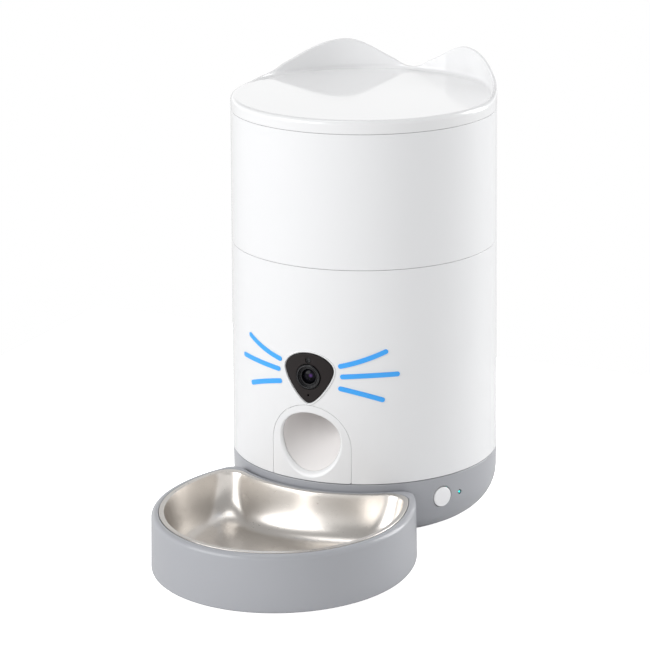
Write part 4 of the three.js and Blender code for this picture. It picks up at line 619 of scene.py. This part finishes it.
panel_rows = [mouth_ring(mouth_radius, 2.8), mouth_ring(mouth_radius, mouth_lip * 1.02)]
panel_rows += [mouth_ring(mouth_radius + mouth_lip * a, mouth_lip * b) for a, b in quarter(11)]
panel_rows += rows_between(panel_rows[-1], arch_ring(0.2), (0.06, 0.25, 0.5, 0.75, 0.94))
panel_rows += [arch_ring(0.2 * a, 0.2 * b) for a, b in quarter(6)[::-1]]
panel_rows += [arch_ring(0, 0.5), arch_ring(0, 2.8)]
panel = piece("mouth_panel_fine", np.stack(panel_rows), sharp=50)
polish(panel)
fit(panel, gloss_white, "base", "white_shell", "mouth_panel")

# The chute: a white scoop with a round floor that climbs from the mouth to the shaft under the
# paddle wheel. It is held between the panel and the deck.
inner_white = plastic("satin_inner_plastic", (0.89, 0.868, 0.862), (0.87, 0.848, 0.842), 0.34, 800, 0.02)


def trough(radius, tall=150.0):
    """A U-shaped outline: a half circle of a floor round the mouth's middle, under two upright walls."""
    turn = np.linspace(pi, 2 * pi, 65)
    line = np.stack([radius * np.cos(turn), radius * np.sin(turn)], 1)
    return np.concatenate([line, [(radius, tall), (-radius, tall)]]) + (0, mouth_middle)


def prism(rows):
    """A form between two outlines of one number of points."""
    return piece("form", np.stack(rows), closed_rows=False)


def pushed_back(outline, front, back):
    """An outline (x, z) pushed from front to back, climbing by the chute's slope times (y + 100)."""
    return prism([
        np.stack([outline[:, 0], np.full(len(outline), y), outline[:, 1] + chute_slope * (y + 100)], 1)
        for y in (front, back)
    ])


def pushed_across(outline, reach):
    """An outline (y, z) pushed from side to side."""
    return prism([np.stack([np.full(len(outline), x), *outline.T], 1) for x in (-reach, reach)])


def side_view(margin, top):
    """The chute from the side: a flat ceiling over the bore and a shaft up to the deck."""
    back, front, ceiling = -26.45 + margin, -60 - margin, 99.4 + margin
    corners = [(-104, 1), (back, 1), (back, top), (front, top), (front, ceiling), (-104, ceiling)]
    return np.array(corners, float) if margin else rounded(corners, [0, 2, 0, 0.5, 6, 0])


chute = pushed_back(trough(24), -103, -22)
combine(chute, "INTERSECT", pushed_across(side_view(2, 131.7), 60))
hollow = pushed_back(trough(mouth_radius), -106, -22)
combine(hollow, "INTERSECT", pushed_across(side_view(0, 134), 60))
combine(chute, "DIFFERENCE", hollow)
room_corners = [(0, 1), (radius_at(47.5) - 3, 1), (radius_at(168) - 3, 168), (0, 168)]
combine(chute, "INTERSECT", piece("room", turned(np.array(room_corners), 192)))
smooth(chute, 30)
chute.name = "food_chute_fine"
fit(chute, inner_white, "base", "inner_plastic", "food_chute")

# The nose: a satin black panel that bulges 0.8 mm over the housing and snaps in from the front. It
# has a bore for the lens, a window for the light sensor above it and a pinhole for the microphone.
camera_level = 127.2
nose_face = radius_at(camera_level)
nose_lift = 0.8


def nose_ring(radius, lift, depth=0.0):
    """A circle round the lens on the panel's surface, at the angles at which the nose's outline lies."""
    outline = nose_outline()
    turn = np.arctan2(outline[:, 1] - camera_level, outline[:, 0])
    flat = np.stack([radius * np.cos(turn), camera_level + radius * np.sin(turn)], 1)
    return on_front(flat, lift=lift, depth=depth)


def nose_edge(inset, lift, depth=0.0):
    """The nose's outline drawn in by an inset along its normals."""
    outline = nose_outline()
    return on_front(outline - outline_normals(outline) * inset, lift=lift, depth=depth)


nose_rows = [nose_ring(9.6, 0, 4.2), nose_ring(9.6, 0, 0.2)]
nose_rows += [nose_ring(9.6 + 0.5 * a, nose_lift - 0.5 * b) for a, b in quarter(6)]
shares = (0.05, 0.25, 0.5, 0.75, 0.95)
nose_rows += rows_between(nose_ring(10.1, nose_lift), nose_edge(0.7, nose_lift), shares, nose_lift)
nose_rows += [nose_edge(0.7 * a, nose_lift - 0.7 * b) for a, b in quarter(8)[::-1]]
nose_rows += [nose_edge(0, -0.4), nose_edge(0, 0, 4.2)]
nose = piece("camera_bezel_fine", np.stack(nose_rows), sharp=50)
flange_edges = [nose_edge(-inset, 0, depth) for inset, depth in ((2.4, 3.3), (2.6, 3.5), (2.6, 4.6))]
nose_flange = piece(
    "camera_bezel_flange", np.stack([nose_ring(12, 0, 3.3), *flange_edges, nose_ring(12, 0, 4.6)]),
)


def face_hole(radius, rise, flare=0.25):
    """A cutter for a small round hole through the nose, at a rise from the lens."""
    level = camera_level + rise
    return bore(radius, 0, level, flare, 90, 104, radius_at(level) + nose_lift, 48, 5, 0.3)


sensor_rise = 12.5
combine(nose, "DIFFERENCE", face_hole(2.3, sensor_rise), face_hole(0.85, -13.9, 0.2), sharp=50)
polish(nose, nose_lift)
satin_black = plastic(
    "satin_black_panel", (0.014, 0.0105, 0.0105), (0.018, 0.0138, 0.0136), 0.45, 1400, 0.015,
    Specular_IOR_Level=0.25,
)
fit(nose, satin_black, "base", "black_plastic", "camera_bezel")
fit(nose_flange, satin_black, "base", "black_plastic")

# The lens: a black barrel with a thin bright edge and stepped rings that fall in to the glass, which
# is a dark domed element with a faint purple coat and a painted purple glint. It sits in the nose's bore with
# a gap round it.
barrel_corners = (
    (5.7, -20), (9.2, -20), (9.2, 1.1), (8.6, 1.8), (7.9, 1.8), (7.5, 0.4), (7.2, 0.4), (6.9, -0.5),
    (6.6, -0.5), (6.3, -0.1), (5.75, -0.1), (5.7, -2.2),
)
barrel = revolved_out(
    "camera_barrel_fine", 0, camera_level, np.array(barrel_corners) + (0, nose_face),
    [0.2, 0.2, 0.3, 0.25, 0.25, 0.1, 0.1, 0.1, 0.1, 0.15, 0.15, 0.1], 128,
)
lens_black = plastic(
    "lens_barrel_black", (0.008, 0.008, 0.01), (0.012, 0.012, 0.014), 0.26, 1600, 0.01,
    Specular_IOR_Level=0.55,
)
fit(barrel, lens_black, "base", "black_plastic", "camera_barrel")
dome = np.linspace(0, pi / 2, 12)
glass_profile = np.concatenate([
    np.stack([5.4 * np.sin(dome), nose_face - 3 + 2.7 * np.cos(dome)], 1),
    [(5.4, nose_face - 8.2), (0, nose_face - 8.2)],
])
glass_with_painted_glint, tree, shader, place = new_material(
    "coated_lens_glass_painted_glint", Specular_IOR_Level=0.07, Coat_Weight=0.15, Coat_Roughness=0.03,
    Coat_Tint=(0.85, 0.75, 1, 1),
)
# Painted highlight: a purple glint spot round a fixed point 1.6 mm right of and 0.9 mm above the lens's
# middle, fading out by 1.9 mm.
away = tree.nodes.new("ShaderNodeVectorMath")
away.operation = "DISTANCE"
away.inputs[1].default_value = (1.6 * mm, axis_y - nose_face * mm, (camera_level + 0.9) * mm)
tree.links.new(place, away.inputs[0])
painted_glint_spot = add(tree, "MapRange", Value=away.outputs["Value"], From_Min=0.3 * mm, From_Max=1.9 * mm)
painted_glint_colour = blend(tree, painted_glint_spot.outputs["Result"], (0.11, 0.045, 0.21), (0.004, 0.004, 0.006))
feed(tree, shader, Base_Color=painted_glint_colour, Roughness=between(tree, noise(tree, place, 700), 0.02, 0.07))
glass = piece("camera_lens_fine", facing_out(turned(glass_profile, 96), 0, camera_level))
fit(glass, glass_with_painted_glint, "base", "lens_glass", "camera_lens")

# The light sensor behind its window, and the microphone behind its pinhole: small round parts held
# by the nose's flange.
sensor_level = camera_level + sensor_rise
sensor_face = radius_at(sensor_level)
sensor = revolved_out("light_sensor_fine", 0, sensor_level, [
    (0, sensor_face - 8), (2, sensor_face - 8), (2, sensor_face + 0.3), (1.5, sensor_face + 0.3),
    (1.2, sensor_face - 0.4), (0, sensor_face - 0.2),
], [0, 0.2, 0.25, 0.2, 0.2, 0], 64)
fit(sensor, lens_black, "base", "black_plastic", "light_sensor")

# The whiskers: six strips of blue film, three on each side of the nose, with round ends and a
# slightly raised print. They lie on the housing and follow its curve.
blue_print = plastic("blue_print", (0.05, 0.40, 0.98), (0.053, 0.42, 1.0), 0.4, 1200, 0.015)
whisker_rows = (
    ("upper", 13, 33.8, 89.2, 101.4, -2.0),
    ("middle", 13.8, 38.8, 81.6, 83.4, 1.0),
    ("lower", 13, 32.4, 73.1, 64, 1.4),
)
whisker_width = 3.7
for name, near_azimuth, far_azimuth, near_height, far_height, sag in whisker_rows:
    reach = seam_radius * radians(1)
    start = np.array((near_azimuth * reach, base_top + near_height))
    end = np.array((far_azimuth * reach, base_top + far_height))
    bend = (start + end) / 2 + (0, sag)
    t = ((1 - np.cos(np.linspace(0, pi, 61))) / 2)[1:-1, None]
    line = (1 - t) ** 2 * start + 2 * t * (1 - t) * bend + t ** 2 * end
    along = 2 * (1 - t) * (bend - start) + 2 * t * (end - bend)
    along /= np.linalg.norm(along, axis=1, keepdims=True)
    half = whisker_width / 2
    from_end = np.minimum(t, 1 - t) * np.linalg.norm(end - start)
    spread = half * np.sqrt(1 - (1 - np.minimum(from_end / half, 1)) ** 2)
    turn = np.linspace(0, 2 * pi, 24, endpoint=False)
    across, raised = [np.sign(wave) * np.abs(wave) ** 0.5 for wave in (np.cos(turn), np.sin(turn))]
    normal = np.stack([-along[:, 1], along[:, 0]], 1)
    flat = line[:, None] + normal[:, None] * (spread * across)[..., None]
    lift = 0.32 + 0.18 * raised * np.minimum(spread / half * 1.5, 1)
    for side, label in ((-1, f"whisker_{name}_left"), (1, f"whisker_{name}_right")):
        radius = radius_at(flat[..., 1]) + lift
        rings = at_angle(radius, side * flat[..., 0] / seam_radius, flat[..., 1])
        fit(piece(f"{label}_fine", loft(rings), sharp=70), blue_print, "base", "blue_print", label)

# The tank: a white shell whose rim carries the lid, with a ledge inside from which the hopper hangs.
# It drops over the housing's lip and meets it in a hairline seam.
tank_wall = 2.8
tank = revolved("tank_shell_fine", [
    (radius_at(208.42), 208.42), (radius_at(306.58), 306.58), (radius_at(306.58) - tank_wall, 306.58),
    (radius_at(300.9) - tank_wall, 300.9), (93.1, 300.9), (93.1, 299), (radius_at(296.8) - tank_wall, 296.8),
    (radius_at(208.42) - tank_wall, 208.42),
], [0.28, 0.3, 0.5, 0.3, 0.4, 0.4, 0.6, 0.45])
polish(tank)
fit(tank, gloss_white, "tank", "white_shell", "tank_shell")

# The food hopper: a satin white funnel with a round shoulder and a soft-edged neck, hung in the tank
# by its flange. A plate across part of the neck keeps the food from falling straight through.
hopper = revolved("food_hopper_fine", [
    (57, 163.3), (59.3, 163.3), (59.3, 172), (92.5, 216), (92.5, 301.2), (94.7, 301.2), (94.7, 303.7),
    (90.2, 303.7), (90.2, 217.2), (57, 173.2),
], [0.8, 0.8, 3, 14, 0.6, 0.5, 0.8, 1.2, 12, 4], fine=10)
baffle_turn = np.linspace(radians(-46), radians(46), 48)
baffle_rows = [
    np.concatenate([at_angle(58.2, baffle_turn, height), at_angle(20, baffle_turn[::-1], height)])
    for height in (163.3, 165.3)
]
combine(hopper, "UNION", prism(baffle_rows))
fit(hopper, inner_white, "tank", "inner_plastic", "food_hopper")

# The lid: one glossy white shell. Its top is nearly flat, and the rim runs up into two soft ears
# behind, joined by a low wall round the back. It has a rounded front edge over the hairline seam.
ear_azimuth = 149
ear_height = 22.8
ear_low = 4.5
ear_front_spread = 42
ear_back_spread = 31
lid_angle = np.linspace(0, 2 * pi, 432, endpoint=False)


def smoothstep(value):
    """3 v^2 - 2 v^3 of a value held between 0 and 1."""
    held = np.clip(value, 0, 1)
    return held * held * (3 - 2 * held)


def ear_rise(azimuth):
    """The rim over the lid's top: a low wall, smoothstep(80, 112), and cos^2 of the way to each ear."""
    turned_to = (azimuth - 1.5) % 360
    turn = np.minimum(turned_to, 360 - turned_to)
    low = ear_low * smoothstep((turn - 80) / 32)
    spread_there = np.where(turn < ear_azimuth, ear_front_spread, ear_back_spread)
    away = np.clip(np.abs(turn - ear_azimuth) / spread_there, 0, 1)
    return low + (ear_height - ear_low) * np.cos(away * pi / 2) ** 2


rise = ear_rise(np.degrees(lid_angle))
lid_outer = radius_at(tank_top)
front_round = 3.3
standing = smoothstep(rise / 8)
crest_wall = 2.3
foot_round = 3.5


def lid_row(radius, height):
    """One ring of the lid, from a radius and a height for each column."""
    return at_angle(radius, lid_angle, height)


def mixed_row(plain_radius, plain_height, eared_radius, eared_height):
    """A ring between the plain edge's line and the ear's, by how far the ear stands there."""
    radius = plain_radius + (eared_radius - plain_radius) * standing
    return lid_row(radius, plain_height + (eared_height - plain_height) * standing)


def lid_section(steps=10):
    """The lid's outer section at every azimuth: the dome, a hollow round at the ear's foot, the ear's
    inside, its crest as a half round, and where there is no ear a plain rounded edge instead."""
    rows = []
    for share in (0.0, 0.15, 0.35, 0.6, 0.8, 0.92, 1.0):
        radius = share * (lid_outer - crest_wall - foot_round - 1.2)
        rows.append(lid_row(radius, lid_top + 0.1 * (1 - share ** 2)))
    inner_face, edge_start = lid_outer - crest_wall, lid_outer - front_round
    foot = np.minimum(foot_round, np.maximum(rise - 0.2, 0) * 0.9)
    for t in np.linspace(0, pi / 2, steps)[1:]:
        plain_radius = (edge_start - 2.4) + 2.0 * (t / (pi / 2))
        eared_height = lid_top + foot * (1 - cos(t))
        rows.append(mixed_row(plain_radius, lid_top, inner_face - foot + foot * sin(t), eared_height))
    half = crest_wall / 2
    for share in (0.25, 0.5, 0.75, 0.93):
        eared_height = lid_top + foot + (np.maximum(rise - foot - half, 0)) * share
        rows.append(mixed_row(edge_start - 0.4 + 0.4 * share, lid_top, inner_face, eared_height))
    for t in np.linspace(0, pi, 2 * steps):
        rows.append(mixed_row(
            edge_start + front_round * sin(t / 2), lid_top - front_round + front_round * cos(t / 2),
            lid_outer - half - half * cos(t), lid_top + rise - half + half * sin(t),
        ))
    return rows


lid_rows = lid_section()
end_height = lid_rows[-1][:, 2]
band_bottom = tank_top + seam_gap / 2
for share in (0.1, 0.5, 0.9):
    lid_rows.append(lid_row(lid_outer, end_height + (band_bottom + 0.5 - end_height) * share))
lid_rows += [lid_row(lid_outer - 0.3 * a, band_bottom + 0.3 * b) for a, b in quarter(5)]
lid_rows += [lid_row(lid_outer - 2.8 + 0.3 * b, band_bottom + 0.3 * a) for a, b in quarter(5)]
underside = 313.9
for inset, drop in ((2.8, 2), (3.4, 0.6), (4.8, 0)):
    lid_rows.append(lid_row(lid_outer - inset, underside - drop))
lid_rows += [lid_row(radius, underside) for radius in (60, 0)]
lid = piece("lid_shell_fine", np.stack(lid_rows), closed_rows=False, sharp=60)
lid_white = plastic(
    "high_gloss_white_plastic", (0.85, 0.853, 0.86), (0.835, 0.839, 0.848), 0.1, 500, 0.004, 0.5,
)
fit(lid, lid_white, "lid", "white_shell", "lid_shell")

# The lid's liner under it: a satin disc with a stiffening ring above and a skirt below, which
# carries the seal. The seal is a soft grey lip that closes the hopper's mouth.
liner = revolved("lid_liner_fine", [
    (0, 306), (58, 306), (58, 313.6), (60, 313.6), (60, 306), (94.5, 306), (94.5, 304), (88, 304),
    (88, 296), (86, 296), (86, 304), (0, 304),
], [0, 1, 0.4, 0.4, 1, 0.6, 0.6, 0.6, 0.7, 0.7, 1, 0], 192)
fit(liner, inner_white, "lid", "inner_plastic", "lid_liner")
soft_silicone = plastic(
    "soft_grey_silicone", (0.62, 0.62, 0.61), (0.58, 0.58, 0.575), 0.55, 500, 0.03,
    Subsurface_Weight=0.1, Subsurface_Radius=(0.002, 0.002, 0.002),
)
seal = revolved("lid_seal_fine", [
    (88.3, 298), (89.9, 300), (89.9, 302), (88.3, 302),
], [0.3, 0.5, 0.3, 0.2], 192)
fit(seal, soft_silicone, "lid", "soft_silicone", "lid_seal")

# The bowl's tray: a grey moulding that wraps round the front of the base. Its back follows the
# body, two tongues slide into the base's slots, and its wide soft rim holds the steel bowl.
tray_widest = 145
back_points, corner_points, side_points, front_points = 40, 14, 24, 64
steel_inset = 6.5
wall_inset = 10.1


def tray_outline(inset, corner, height):
    """The tray from above: half ellipses that meet at the widest place, x = a cos t, y = -(145 + b sin t),
    with the body's circle cut into the back and a round corner of the given radius where they meet."""
    half_width, front_reach, back_reach = 93.8 - inset, 98.2 - inset, 110 - inset
    back_radius = seam_radius + 0.6 + inset

    def side(t):
        return np.stack([half_width * np.cos(t), tray_widest - back_reach * np.sin(t)], -1)

    def outward(t):
        line = np.stack([np.cos(t) / half_width, -np.sin(t) / back_reach], -1)
        return line / np.linalg.norm(line, axis=-1, keepdims=True)

    low, high = np.array(0.0), np.array(pi / 2)
    for _ in range(40):
        middle = (low + high) / 2
        inside = np.linalg.norm(side(middle) - outward(middle) * corner) > back_radius + corner
        low, high = (middle, high) if inside else (low, middle)
    centre = side(low) - outward(low) * corner
    back_turn = np.linspace(0, np.arctan2(centre[0], centre[1]), back_points, endpoint=False)
    first, last = np.arctan2(-centre[1], -centre[0]), np.arctan2(outward(low)[1], outward(low)[0])
    corner_turn = np.linspace(first, last, corner_points, endpoint=False)
    side_turn = np.linspace(low, 0, side_points, endpoint=False)
    front_turn = np.linspace(0, pi / 2, front_points)
    half = np.concatenate([
        back_radius * np.stack([np.sin(back_turn), np.cos(back_turn)], 1),
        centre + corner * np.stack([np.cos(corner_turn), np.sin(corner_turn)], 1),
        side(side_turn),
        np.stack([half_width * np.cos(front_turn), tray_widest + front_reach * np.sin(front_turn)], 1),
    ])
    whole = np.concatenate([half, half[1:-1][::-1] * (-1, 1)])
    return np.stack([whole[:, 0], -whole[:, 1], np.full(len(whole), height)], 1)


def outer_corner(inset):
    """The corner's radius, which opens from the tray's outside to the steel bowl's rim."""
    return 5 + 9 * min(max(inset, 0) / steel_inset, 1)


def bowl_wall(outwards, steps=26):
    """The bowl's wall: a cubic curve from the rim down and in to the floor, moved out by a thickness."""
    t = np.linspace(0, 1, steps)
    run = 3 * (1 - t) ** 2 * t * 0.10 + 3 * (1 - t) * t ** 2 * 0.2 + t ** 3
    fall = 3 * (1 - t) ** 2 * t * 0.35 + 3 * (1 - t) * t ** 2 + t ** 3
    inset = wall_inset + 19 * run - outwards
    height = 43.2 - 33 * fall - outwards * (1 + fall) / 2
    return [(a, b, 14 + 6 * c ** 0.7) for a, b, c in zip(inset, height, run)]


def carried(name, section, sharp=40):
    """A section of (inset, height, corner) carried round the tray's outline, its two ends closed flat."""
    rows = np.stack([tray_outline(inset, corner, height) for inset, height, corner in section])
    return piece(name, rows, closed_rows=False, sharp=sharp)


rim = rounded([
    (8, 42), (6.2, 42), (6.2, 43), (1.0, 43), (0, 1), (2.4, 1), (3.3, 39.6), (6.2, 39.6),
], [0, 0.2, 0.7, 3.6, 1.6, 0.5, 1.5, 0], 12)[14:-14]
tray_section = bowl_wall(1.6)[1:][::-1]
tray_section += [(a, b, outer_corner(a)) for a, b in rim]
tray_section += bowl_wall(4)[2:]
tray = carried("bowl_tray_fine", tray_section)
tray_feet = ((0, -192, 0), (-42, -144, 0), (42, -144, 0))
joined = [block(rectangle((x - 7, -104), (x + 7, -82.1), 1.5), 13, 17, 0.5) for x in (-30, 30)]
joined += [block(circle(6.6, place), 1, 8, 0.4) for place in tray_feet]
combine(tray, "UNION", *joined)
combine(tray, "DIFFERENCE", *[block(circle(5.3, place), -1, 2.3) for place in tray_feet], sharp=40)
fit(tray, grey_plastic, "tray", "grey_plastic", "bowl_tray")

for number, place in enumerate(tray_feet, 1):
    name = f"tray_foot_{number}"
    pad = revolved(f"{name}_fine", [
        (0, 0.05), (4.2, 0), (4.9, 0.7), (5, 2), (0, 2),
    ], [0, 2, 0.5, 0.2, 0], 48, middle=place)
    fit(pad, foot_rubber, "tray", "foot_rubber", name)

# The bowl: a thin pressed steel liner in the tray's outline, polished, with a rolled lip that lies on
# the tray's ledge. It lifts out to be washed.
lip = rounded([
    (8.8, 42.3), (6.5, 42.3), (6.5, 43.35), (10, 43.35), (10.2, 42),
], [0, 0.3, 0.45, 0.6, 0], 10)[12:-12]
bowl_section = bowl_wall(0.9)[1:][::-1]
bowl_section += [(a, b, outer_corner(a)) for a, b in lip]
bowl_section += bowl_wall(0)[1:]
bowl = carried("steel_bowl_fine", bowl_section, 50)
steel, tree, shader, place = new_material("polished_steel", Metallic=1)
tone = blend(tree, noise(tree, place, 14), (0.73, 0.695, 0.655), (0.69, 0.66, 0.625))
brush = noise(tree, add(tree, "Mapping", Vector=place, Scale=(220, 1600, 1600)).outputs["Vector"], 1)
bump = add(tree, "Bump", Strength=0.15, Distance=0.01 * mm, Height=brush).outputs["Normal"]
feed(tree, shader, Base_Color=tone, Roughness=between(tree, brush, 0.25, 0.33), Normal=bump)
fit(bowl, steel, "bowl", "bowl_steel", "steel_bowl")

# The rotor deck: a satin moulding under the tank whose round chamber holds the paddle wheel. It is
# screwed to three bosses in the housing, and portions fall through its outlet into the chute.
deck = revolved("rotor_deck_fine", [
    (0, 134.5), (60, 134.5), (60, 168), (95.9, 168), (95.9, 165.5), (62.5, 165.5), (62.5, 132), (0, 132),
], [0, 2.2, 1.2, 0.5, 0.5, 1.5, 1.5, 0], fine=8)
outlet = block(rectangle((-21.4, -56), (21.4, -28), 3), 128, 140)
shaft_bore = block(circle(7.6, steps=64), 128, 140)
screw_bores = [block(circle(1.9, around(deck_circle, azimuth), 32), 160, 172) for azimuth in boss_azimuths]
combine(deck, "DIFFERENCE", outlet, shaft_bore, *screw_bores)
fit(deck, inner_white, "base", "inner_plastic", "rotor_deck")

# The deck's three screws: small bright pan heads with a cross recess, driven through the flange into
# the housing's bosses.
for number, azimuth in enumerate(boss_azimuths, 1):
    middle = around(deck_circle, azimuth)
    name = f"deck_screw_{number}"
    screw = revolved(f"{name}_fine", [
        (0, 154.4), (1.6, 155), (1.6, 168.3), (2.6, 168.3), (2.6, 169.6), (0, 170.3),
    ], [0, 0.4, 0, 0.1, 0.8, 0], 48, middle=middle)
    cross = [
        piece("cutter", slab(rectangle((-x, -y), (x, y), 0.1), 169.2, 172) + middle)
        for x, y in ((1.5, 0.28), (0.28, 1.5))
    ]
    combine(screw, "DIFFERENCE", *cross)
    fit(screw, bright_metal, "base", "small_metal", name)

# The paddle wheel: a white hub with a domed cap and six thin vanes, moulded in one. A star of soft
# silicone lies on the vanes, and its ends hang down to wipe the wall.
wheel = revolved("paddle_wheel_fine", [
    (4.3, 135.9), (12, 135.9), (12, 158.5), (4.6, 167.9), (0, 167.9), (0, 154.3), (4.3, 154.3),
], [0.2, 0.6, 4, 2.5, 0, 0, 0.2], 128, 8)
combine(wheel, "DIFFERENCE", block(circle(10, steps=64), 130, 136.5))


def spun(points, turn):
    """Points turned round the upright axis by an angle in degrees."""
    angle = radians(turn)
    return points @ np.array(((cos(angle), sin(angle), 0), (-sin(angle), cos(angle), 0), (0, 0, 1)))


vane = slab(rectangle((10, -1.2), (51, 1.2), 0.9), 135.9, 159.9, 0.5)
for step in range(6):
    combine(wheel, "UNION", piece("vane", spun(vane, 60 * step)))
acetal = plastic("white_acetal", (0.80, 0.80, 0.78), (0.77, 0.77, 0.75), 0.42, 700, 0.02)
fit(wheel, acetal, "rotor", "inner_plastic", "paddle_wheel")
wiper = revolved("soft_wiper_fine", [
    (12, 160.2), (16, 160.2), (16, 161.8), (12, 161.8),
], [0.2, 0.5, 0.5, 0.2], 96)
for step in range(6):
    for start, bottom in ((14, 160.2), (51.3, 135.9)):
        arm = slab(rectangle((start, -0.8), (58.8, 0.8), 0.4), bottom, 161.8, 0.3)
        combine(wiper, "UNION", piece("arm", spun(arm, 60 * step)))
fit(wiper, soft_silicone, "rotor", "soft_silicone", "soft_wiper")

# The desiccant box: a round satin cup, open below, under the lid's liner. Its slotted cap lets the air
# through and turns off by its grip bar.
desiccant_box = revolved("desiccant_box_fine", [
    (0, 303.7), (30, 303.7), (30, 288.7), (28, 288.7), (28, 301.7), (0, 301.7),
], [0, 0.6, 0.6, 0.6, 1.5, 0], 144)
fit(desiccant_box, inner_white, "lid", "inner_plastic", "desiccant_box")
cap = revolved("desiccant_cap_fine", [
    (0, 286.2), (32.9, 286.2), (32.9, 292.4), (30.9, 292.4), (30.9, 288.4), (0, 288.4),
], [0, 1.4, 0.6, 0.6, 0.5, 0], 144)
slot = slab(rectangle((8.5, -1.5), (22, 1.5), 1.4), 284, 291)
combine(cap, "DIFFERENCE", *[piece("cutter", spun(slot, 45 * (step + 0.5))) for step in range(8)])
grip_reach = 26 / 2 * 2 ** 0.5
grip_outline = rectangle((-grip_reach, -1.5), (grip_reach, 1.5), 1.2)
combine(cap, "UNION", block(grip_outline, 282.2, 287.3, 0.7))
fit(cap, inner_white, "desiccant_cap", "inner_plastic", "desiccant_cap")

# What is shown in the CAD's own shape: the works inside the housing and the base. Each piece takes
# the material that its slot names, from the plastics and metals above and these few more.
circuit_green = plastic("green_circuit_board", (0.02, 0.13, 0.06), (0.03, 0.18, 0.085), 0.4, 300, 0.05, 0.3)
dark_plastic = plastic("dark_moulded_plastic", (0.06, 0.06, 0.065), (0.075, 0.075, 0.08), 0.45, 800, 0.03)
finishes = {
    "inner_plastic": inner_white,
    "grey_plastic": grey_plastic,
    "black_plastic": black_plastic,
    "small_metal": bright_metal,
    "circuit_board": circuit_green,
    "acetal": acetal,
    "dark_plastic": dark_plastic,
}
for name in (
    "battery_box", "battery_door", "battery_contacts", "main_board", "speaker", "button_board",
    "drop_emitter", "drop_receiver", "camera_board", "camera_cable", "microphone", "shaft_bush",
    "gearbox_housing", "gearbox_cover", "drive_motor", "motor_pinion", "idler_pin", "idler_gear",
    "output_gear", "drive_shaft",
):
    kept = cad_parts[name]
    kept.data.materials[0] = finishes[kept.data.materials[0].name.split(".")[0]]
